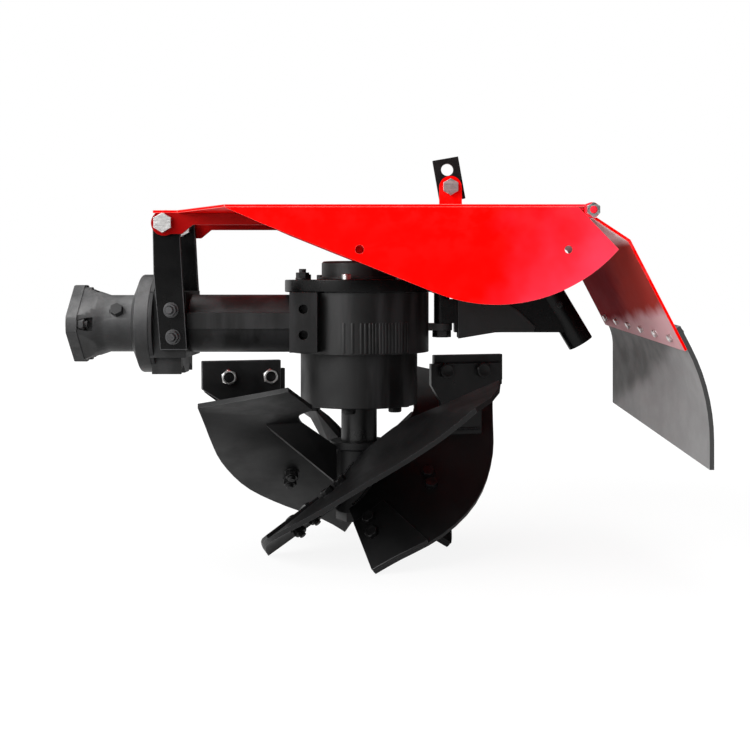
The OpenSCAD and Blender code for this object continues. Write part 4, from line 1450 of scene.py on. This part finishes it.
@dataclass(frozen=True)
class BladeShape:
    """Ruled sheet that each blade follows, by the values that shaped the solid."""

    hub_radius: float = 0.027
    reach: float = 0.205
    tip_z: float = -0.261
    top_z: float = -0.062
    turn: float = 11.0
    thickness: float = 0.005
    share: float = 0.004
    head_turn: float = 17.0
    substeps: int = 3
    side_step: float = 0.05
    row_step: float = 0.5
    stations: tuple[tuple[float, ...], ...] = (
        (-30, 0.00, 0.26, 0, 0.44, 0.00), (0, 0.00, 0.32, 14, 0.49, 0.08), (30, 0.00, 0.40, 36, 0.56, 0.18),
        (60, 0.00, 0.48, 60, 0.63, 0.32), (85, 0.03, 0.56, 80, 0.70, 0.48), (104, 0.13, 0.65, 98, 0.79, 0.64),
        (118, 0.30, 0.77, 109, 0.89, 0.77), (133, 0.43, 0.84, 116, 1.00, 0.90),
        (146, 0.50, 0.88, 146, 0.80, 1.00))

    @staticmethod
    def between(values: Sequence[float], share: float, straight: bool) -> float:
        """Value between the second and third of four stations.

        Args:
            values: Value at the four stations.
            share: Share of the way from the second to the third.
            straight: Runs straight between them, or on a smooth curve through all four.

        Returns:
            The value.
        """
        a, b, c, d = values
        if straight:
            return b + (c - b) * share
        return 0.5 * (2 * b + (c - a) * share + (2 * a - 5 * b + 4 * c - d) * share ** 2
                      + (3 * b - a - 3 * c + d) * share ** 3)

    def edge(self, row: float, column: int) -> Vector:
        """Point on the inner or outer edge of the sheet.

        Args:
            row: Row along the blade, from its cutting edge.
            column: 0 for the inner edge, 1 for the outer one.

        Returns:
            The point, before the rotor's turn.
        """
        last = len(self.stations) - 1
        index = min(int(row / self.substeps), last - 1)
        share = row / self.substeps - index
        picks = (max(index - 1, 0), index, index + 1, min(index + 2, last - 1))
        around = [self.stations[pick] for pick in picks]
        straight = index == last - 1
        angle, out, rise = (self.between([station[3 * column + n] for station in around], share, straight)
                            for n in range(3))
        radius = self.hub_radius + (self.reach - self.hub_radius) * out
        return Vector((radius * math.cos(math.radians(angle)), radius * math.sin(math.radians(angle)),
                       self.tip_z + (self.top_z - self.tip_z) * rise))

    def point(self, row: float, across: float) -> Vector:
        """Point on the sheet, from 0 at the inner edge to 1 at the outer one."""
        return self.edge(row, 0).lerp(self.edge(row, 1), across)

    def normal(self, row: float, across: float) -> Vector:
        """Direction that the upper face looks at a point.

        Args:
            row: Row along the blade.
            across: Share of the way from its inner to its outer edge.

        Returns:
            The direction.
        """
        inward, outward = max(across - self.side_step, 0), min(across + self.side_step, 1)
        over = self.point(row, outward) - self.point(row, inward)
        along = self.point(row + self.row_step, across) - self.point(max(row - self.row_step, 0), across)
        return over.cross(along).normalized()

    def on_blade(self, number: int) -> Matrix:
        """Turn and place of one of the four blades."""
        return Matrix.Translation((ROTOR_X, 0, 0)) @ Bench.turn_z(self.turn + 90 * number)

    def on_face(self, number: int, row: float, across: float, offset: float, upper: bool) -> Matrix:
        """Place on a face of one blade, looking out of it.

        Args:
            number: Which blade.
            row: Row along the blade.
            across: Share of the way from its inner to its outer edge.
            offset: Distance from the middle of the sheet.
            upper: Upper face or lower one.

        Returns:
            The place.
        """
        look = self.normal(row, across) * (1 if upper else -1)
        seat = self.point(row, across) + look * offset
        return self.on_blade(number) @ Bench.facing(seat, look, self.head_turn)

    def ruling(self, row: float) -> Matrix:
        """Place of the plates that stand along one ruling, with +X outwards.

        Args:
            row: Row along the blade.

        Returns:
            The place, before the blade's turn.
        """
        inner, outer = self.point(row, 0), self.point(row, 1)
        angle = math.atan2(outer.y - inner.y, outer.x - inner.x)
        flat = Vector((inner.x, inner.y, 0))
        return (Matrix.Translation(flat) @ Matrix.Rotation(angle, 4, "Z")
                @ Matrix.Translation((-flat.length, 0, 0)))


@dataclass
class Rotor(SubAssembly):
    """Shaft, hub, blades, shares and knives that turn together."""

    shape: BladeShape = field(default_factory=BladeShape)
    blade_count: int = 4
    share_bolt_places: tuple[Span, ...] = ((2.5, 0.35), (2.0, 0.56))
    stay_bolt_places: tuple[Span, ...] = ((10.1, 0.45), (9.0, 0.53))
    knife_row: float = 15.0
    knife_thickness: float = 0.008
    knife_bolts: tuple[float, ...] = (0.107, 0.153)
    knife_bolt_z: float = -0.057
    knife_head_size: float = 1.27
    knife_head_turn: float = 12.0
    knife_nut_turn: float = 9.0
    knife_blades: tuple[int, ...] = (1, 3)
    foot_weld_rows: tuple[float, ...] = tuple(step * 0.5 for step in range(2, 22))
    foot_weld_raise: float = 0.0004
    foot_weld_across: float = 0.03
    lug_weld_ends: Span = (0.098, 0.150)
    lug_weld_raise: float = 0.006
    hub_top: float = -0.142
    hub_weld_step: int = 9
    edge_angle: ClassVar[float] = 50.0
    knife_edge_angle: ClassVar[float] = 30.0

    def build(self) -> None:
        """Fits and paints the rotor."""
        self.keep("rotor_shaft", Surface.PLATE)
        self.skin("rotor_hub", Surface.BLADE, Body.ROTOR, edge=0.0008)
        for number in range(1, self.blade_count + 1):
            self.skin(f"blade_{number}", Surface.BLADE, Body.ROTOR, edge=0.0009, degrees=self.edge_angle,
                      rim=Surface.BLACK_EDGE)
        self.skin("share_points", Surface.BLADE, Body.ROTOR, edge=0.0008, degrees=self.edge_angle,
                  rim=Surface.BLACK_EDGE)
        self.skin("blade_stays", Surface.BLADE, Body.ROTOR, edge=0.0008, degrees=self.edge_angle)
        self.skin("knife_lugs", Surface.PLATE, Body.ROTOR, edge=0.0008, degrees=self.edge_angle)
        self.skin("knives", Surface.PLATE, Body.ROTOR, edge=0.0010, degrees=self.knife_edge_angle,
                  rim=Surface.BLACK_EDGE)
        self.blade_bolts("share", self.share_bolt_places, self.shape.share)
        self.blade_bolts("stay", self.stay_bolt_places, 0.0)
        self.knife_fixings()
        paths = [*self.foot_welds(), *self.lug_welds(), self.hub_weld()]
        self.fasten("rotor_welds", Fastener.WELD, self.kit.seam(paths), Surface.BLADE, Body.ROTOR)

    def blade_bolts(self, name: str, places: Sequence[Span], raised: float) -> None:
        """Bolts through every blade, with their nuts behind it.

        Args:
            name: What the bolts hold.
            places: Row and share across the blade of each bolt.
            raised: Height of the heads' seat above the blade's face.
        """
        half = self.shape.thickness / 2
        for kind, fastener, offset, upper in (("_bolts", Fastener.BOLT, half + raised, True),
                                              ("_nuts", Fastener.NUT, half, False)):
            seats = [self.shape.on_face(blade, row, across, offset, upper)
                     for blade in range(self.blade_count) for row, across in places]
            self.fasten(name + kind, fastener, seats, Surface.PLATE, Body.ROTOR)

    def knife_places(self, height: float, look: Point, turn: float, size: float = 1.0) -> list[Matrix]:
        """Places at the knives' bolts.

        Args:
            height: Distance from the middle of the lug.
            look: Where the copies look, beside the lug.
            turn: Turn about their own axis, in degrees.
            size: Size beside the pattern's.

        Returns:
            The places.
        """
        return [self.on_knife(blade) @ Bench.facing((out, height, self.knife_bolt_z), look, turn, size)
                for blade in self.knife_blades for out in self.knife_bolts]

    def on_knife(self, blade: int) -> Matrix:
        """Place of the lug on one blade, with +X outwards and +Y towards its knife."""
        return self.shape.on_blade(blade) @ self.shape.ruling(self.knife_row)

    def knife_fixings(self) -> None:
        """Nuts on the knives and bolt heads behind their lugs."""
        half = self.knife_thickness / 2
        nuts = self.knife_places(half * 3, (0, 1, 0), self.knife_nut_turn)
        heads = self.knife_places(-half, NEARWARDS, self.knife_head_turn, self.knife_head_size)
        self.fasten("knife_nuts", Fastener.THIN_NUT, nuts, Surface.ZINC, Body.ROTOR)
        self.fasten("knife_bolt_ends", Fastener.STUB, nuts, Surface.PLATE, Body.ROTOR)
        self.fasten("knife_bolt_heads", Fastener.BOLT, heads, Surface.PLATE, Body.ROTOR)

    def foot_welds(self) -> list[list[Vector]]:
        """Beads on both sides of each blade's foot, where it meets the hub.

        Returns:
            The beads' paths.
        """
        paths = []
        half = self.shape.thickness / 2
        for blade in range(self.blade_count):
            base = self.shape.on_blade(blade)
            for side in (-1, 1):
                path = []
                for row in self.foot_weld_rows:
                    look = self.shape.normal(row, self.foot_weld_across)
                    point = self.shape.point(row, 0) + look * half * side
                    flat = Vector((point.x, point.y, 0)).normalized()
                    flat *= self.shape.hub_radius + self.foot_weld_raise
                    path.append(base @ Vector((flat.x, flat.y, point.z)))
                paths.append(path)
        return paths

    def lug_welds(self) -> list[list[Vector]]:
        """Beads on both sides of each lug, where it meets its blade.

        Returns:
            The beads' paths.
        """
        foot_z = self.shape.point(self.knife_row, 0.5).z + self.lug_weld_raise
        return [[self.on_knife(blade) @ Vector((out, side * self.knife_thickness / 2, foot_z))
                 for out in self.lug_weld_ends]
                for blade in self.knife_blades for side in (-1, 1)]

    def hub_weld(self) -> list[Vector]:
        """Bead round the shaft, on top of the hub.

        Returns:
            The bead's path.
        """
        radius = self.shape.hub_radius
        angles = [math.radians(angle) for angle in range(0, 361, self.hub_weld_step)]
        return [Vector((ROTOR_X + radius * math.cos(a), radius * math.sin(a), self.hub_top)) for a in angles]


@dataclass
class Hood(SubAssembly):
    """Red hood with its ear arms, hanger lug and hinge."""

    hood_top: float = 0.126
    lug_front: float = 0.417
    lug_back: float = 0.443
    lug_thickness: float = 0.006
    weld_margin: float = 0.001
    weld_size: float = 0.8
    pin_reach: float = 0.0064
    pin_end_size: float = 0.42

    def build(self) -> None:
        """Fits and paints the hood."""
        self.skin("hood_top_plate", Surface.HOOD, Body.HOOD, edge=0.0005, rim=Surface.RED_EDGE)
        for side in ("left", "right"):
            self.skin(side + "_side_plate", Surface.HOOD, Body.HOOD, edge=0.0007, rim=Surface.RED_EDGE)
            self.skin(side + "_ear_arm", Surface.EAR, Body.HOOD, edge=0.0006)
        self.skin("hanger_lug", Surface.HOOD, Body.HOOD, edge=0.0006)
        self.skin("hood_knuckles", Surface.HOOD, Body.HOOD, edge=0.0005)
        self.skin("hinge_pin", Surface.ZINC, Body.HOOD, edge=0.0006)
        self.skin("hanger_bolt", Surface.ZINC, Body.HOOD, edge=0.0007)
        ends = (self.lug_front + self.weld_margin, self.lug_back - self.weld_margin)
        paths = [[Vector((x, y, self.hood_top)) for x in ends] for y in (0.0, -self.lug_thickness)]
        seam = self.kit.seam(paths, self.weld_size)
        self.fasten("lug_welds", Fastener.WELD, seam, Surface.HOOD, Body.HOOD)
        lean = math.radians(HINGE_TURN)
        outward = Vector((math.sin(lean), -math.cos(lean), 0))
        end = Bench.facing(Vector(HINGE_NEAR) + outward * self.pin_reach, outward, 0, self.pin_end_size)
        self.fasten("hinge_pin_end", Fastener.DOME, [end], Surface.HOOD, Body.HOOD)


@dataclass
class Hanger(SubAssembly):
    """Small plate that the hood's height chain hooks into."""

    def build(self) -> None:
        """Fits and paints the hanger plate."""
        self.skin("hanger_plate", Surface.PLATE, Body.HANGER, edge=0.0008)


@dataclass
class Flap(SubAssembly):
    """Hinged rear panel with its rubber sheet."""

    hinge_length: float = 0.310
    upper_start: Span = (0.001, -0.007)
    upper_length: float = 0.044
    lower_length: float = 0.126
    upper_slope: float = 33.0
    lower_slope: float = 62.4
    panel_thickness: float = 0.003
    rubber_thickness: float = 0.00505
    climb: float = 0.018
    bolt_count: int = 6
    bolt_margin: float = 0.013
    bolt_size: float = 0.58
    bolt_turn_step: float = 25.0

    def build(self) -> None:
        """Fits and paints the flap."""
        self.skin("flap_panel", Surface.FLAP, Body.FLAP, edge=0.0005, rim=Surface.HOOD)
        self.skin("rubber_sheet", Surface.RUBBER, Body.FLAP, edge=0.0006)
        for name, fastener, inside in (("flap_bolts", Fastener.BOLT, True),
                                       ("flap_nuts", Fastener.NUT, False)):
            places = [self.bolt_place(number, inside) for number in range(self.bolt_count)]
            self.fasten(name, fastener, places, Surface.ZINC, Body.FLAP)

    def bolt_place(self, number: int, inside: bool) -> Matrix:
        """Place of one clamp bolt's head or nut.

        Args:
            number: Which bolt, from the near side.
            inside: Its head inside the flap, or its nut outside.

        Returns:
            The place.
        """
        hinge = Matrix.Translation(HINGE_NEAR) @ Bench.turn_z(HINGE_TURN)
        share = (number + 0.5) / self.bolt_count
        upper, lower = math.radians(self.upper_slope), math.radians(self.lower_slope)
        down = self.lower_length - self.climb * share - self.bolt_margin
        x = self.upper_start[0] + self.upper_length * math.cos(upper) + down * math.cos(lower)
        z = self.upper_start[1] - self.upper_length * math.sin(upper) - down * math.sin(lower)
        out = Vector((math.sin(lower), 0, math.cos(lower)))
        offset = -self.panel_thickness / 2 if inside else self.panel_thickness / 2 + self.rubber_thickness
        seat = Vector((x, share * self.hinge_length, z)) + out * offset
        look = out * (-1 if inside else 1)
        return hinge @ Bench.facing(seat, look, self.bolt_turn_step * number, self.bolt_size)


@dataclass
class RearArm(SubAssembly):
    """Swinging arm with the tube for the depth skid."""

    tube_foot: Point = (0.580, 0.0, -0.023)
    tube_lean: float = 31.0
    tube_radius: float = 0.015
    clamp_heights: tuple[float, ...] = (0.052, 0.074)
    clamp_sink: float = 0.0003
    clamp_size: float = 0.7

    def build(self) -> None:
        """Fits and paints the arm."""
        self.skin("arm_bar", Surface.DEEP, Body.ARM, edge=0.0010)
        self.skin("arm_side_plates", Surface.PLATE, Body.ARM, edge=0.0008)
        self.skin("skid_tube", Surface.DEEP, Body.ARM, edge=0.0006)
        lean = Matrix.Rotation(math.radians(-self.tube_lean), 4, "Y")
        base = Matrix.Translation(self.tube_foot) @ lean
        seat_y = self.clamp_sink - self.tube_radius
        places = [base @ Bench.facing((0, seat_y, height), NEARWARDS, 0, self.clamp_size)
                  for height in self.clamp_heights]
        self.fasten("tube_clamp_screws", Fastener.SCREW, places, Surface.PLATE, Body.ARM)


@dataclass
class Lamp:
    """One large soft lamp."""

    name: str
    place: Point
    size: Span
    power: float
    in_gloss: bool = True

    def build(self, target: Vector) -> None:
        """Hangs the lamp and aims it.

        Args:
            target: Point that the lamp looks at.
        """
        data = bpy.data.lights.new(self.name, "AREA")
        data.shape = "RECTANGLE"
        data.size, data.size_y = self.size
        data.energy = self.power
        lamp = bpy.data.objects.new(self.name, data)
        lamp.location = self.place
        lamp.rotation_euler = (target - Vector(self.place)).to_track_quat("-Z", "Y").to_euler()
        lamp.visible_camera = False
        lamp.visible_glossy = self.in_gloss
        bpy.context.scene.collection.objects.link(lamp)


@dataclass
class Studio:
    """Pale floor, soft lamps, pale surroundings and the camera."""

    white: ClassVar[tuple[float, ...]] = (1.0, 1.0, 1.0, 1.0)
    camera_place: Point = (0.372, -1.300, 0.044)
    lens: float = 54.24
    film_width: float = 36.0
    shift: Span = (-0.0333, -0.12)
    ambient: float = 0.19
    ambient_reach: Span = (-0.7, 0.8)
    ambient_sides: Span = (1.5, 0.4)
    glow_reach: Span = (-0.95, 0.25)
    glow_sides: Span = (0.82, 0.02)
    floor_gap: float = 0.0008
    floor_size: float = 14.0
    floor_gloss: float = 0.3
    floor_paper: tuple[float, ...] = (0.82, 0.82, 0.82, 1.0)
    floor_glow: float = 1.08
    floor_reach: Span = (0.45, 1.6)
    floor_shares: Span = (0.82, 1.0)
    lamps: tuple[Lamp, ...] = (
        Lamp("key_lamp", (-2.2, -2.4, 1.9), (2.8, 2.8), 150.0),
        Lamp("front_lamp", (-0.6, -3.4, 0.7), (2.6, 1.6), 40.0, False),
        Lamp("top_lamp", (0.1, 0.4, 3.0), (2.6, 2.6), 55.0),
    )

    def build(self) -> None:
        """Sets up the studio."""
        low, high = CAD_BOX
        target = (Vector(low) + Vector(high)) / 2
        for lamp in self.lamps:
            lamp.build(target)
        self.floor(Vector(low).z - self.floor_gap, target)
        self.surroundings()
        self.camera()
        bpy.context.scene.view_settings.view_transform = "Standard"

    def camera(self) -> None:
        """Sets the camera up level, looking along +Y."""
        data = bpy.data.cameras.new("camera")
        data.lens = self.lens
        data.sensor_width = self.film_width
        data.shift_x, data.shift_y = self.shift
        camera = bpy.data.objects.new("camera", data)
        camera.location = self.camera_place
        camera.rotation_euler = (math.radians(90), 0, 0)
        bpy.context.scene.collection.objects.link(camera)
        bpy.context.scene.camera = camera

    def floor(self, height: float, target: Vector) -> None:
        """Lays the floor.

        Args:
            height: Height of its face.
            target: Point that it is centred under.
        """
        bpy.ops.object.select_all(action="DESELECT")
        bpy.ops.mesh.primitive_plane_add(size=self.floor_size, location=(target.x, target.y, height))
        floor = bpy.context.object
        floor.name = "studio_floor"
        material = bpy.data.materials.new("pale_floor")
        desk = self.blank_desk(material)
        rays = desk.add("LightPath").outputs
        mirrored = desk.maths("MULTIPLY", rays["Is Glossy Ray"], self.floor_gloss)
        seen = desk.maths("MAXIMUM", rays["Is Camera Ray"], mirrored)
        reach = desk.add("VectorMath", operation="DISTANCE")
        desk.join(desk.add("TexCoord").outputs["Object"], reach.inputs[0])
        share = desk.maths("MULTIPLY", seen,
                           desk.spread(reach.outputs["Value"], self.floor_reach, self.floor_shares))
        paper = desk.add("BsdfDiffuse", Color=self.floor_paper)
        glow = desk.add("Emission", Color=self.white, Strength=self.floor_glow)
        blend = desk.add("MixShader")
        for source, inlet in zip((share, paper.outputs[0], glow.outputs[0]), blend.inputs):
            desk.join(source, inlet)
        desk.join(blend.outputs[0], desk.add("OutputMaterial").inputs["Surface"])
        floor.data.materials.append(material)

    def surroundings(self) -> None:
        """Pale backdrop beyond the machine and a dim room in front of it."""
        world = bpy.data.worlds.new("studio_room")
        bpy.context.scene.world = world
        desk = self.blank_desk(world)
        rays = desk.add("LightPath").outputs
        sideways = desk.split(desk.add("TexCoord").outputs["Generated"])["X"]
        across = desk.spread(sideways, self.glow_reach, self.glow_sides)
        shiny = desk.maths("MAXIMUM", rays["Is Glossy Ray"], rays["Is Transmission Ray"])
        direct = desk.maths("MAXIMUM", rays["Is Camera Ray"], desk.maths("MULTIPLY", across, shiny))
        near, far = self.ambient_sides
        fill = desk.spread(sideways, self.ambient_reach, (near * self.ambient, far * self.ambient))
        soft = desk.maths("MULTIPLY", desk.maths("SUBTRACT", 1.0, shiny), fill)
        sky = desk.add("Background", Color=self.white)
        desk.join(desk.maths("MAXIMUM", direct, soft), sky.inputs["Strength"])
        desk.join(sky.outputs[0], desk.add("OutputWorld").inputs["Surface"])

    @staticmethod
    def blank_desk(holder: bpy.types.Material | bpy.types.World) -> Desk:
        """Clears the nodes of a material or world.

        Args:
            holder: The material or world.

        Returns:
            The desk for its new nodes.
        """
        holder.use_nodes = True
        holder.node_tree.nodes.clear()
        return Desk(holder.node_tree)


def main() -> None:
    """Builds every sub-assembly and the studio."""
    logging.basicConfig(level=logging.INFO, format="%(message)s")
    kit = FastenerKit()
    kit.build()
    shop = PaintShop()
    for group in (DriveNeck, Gearbox, Straps, Rotor, Hood, Hanger, Flap, RearArm):
        LOG.info("building %s", group.__name__)
        group(kit, shop).build()
    Studio().build()


if __name__ == "__main__":
    main()
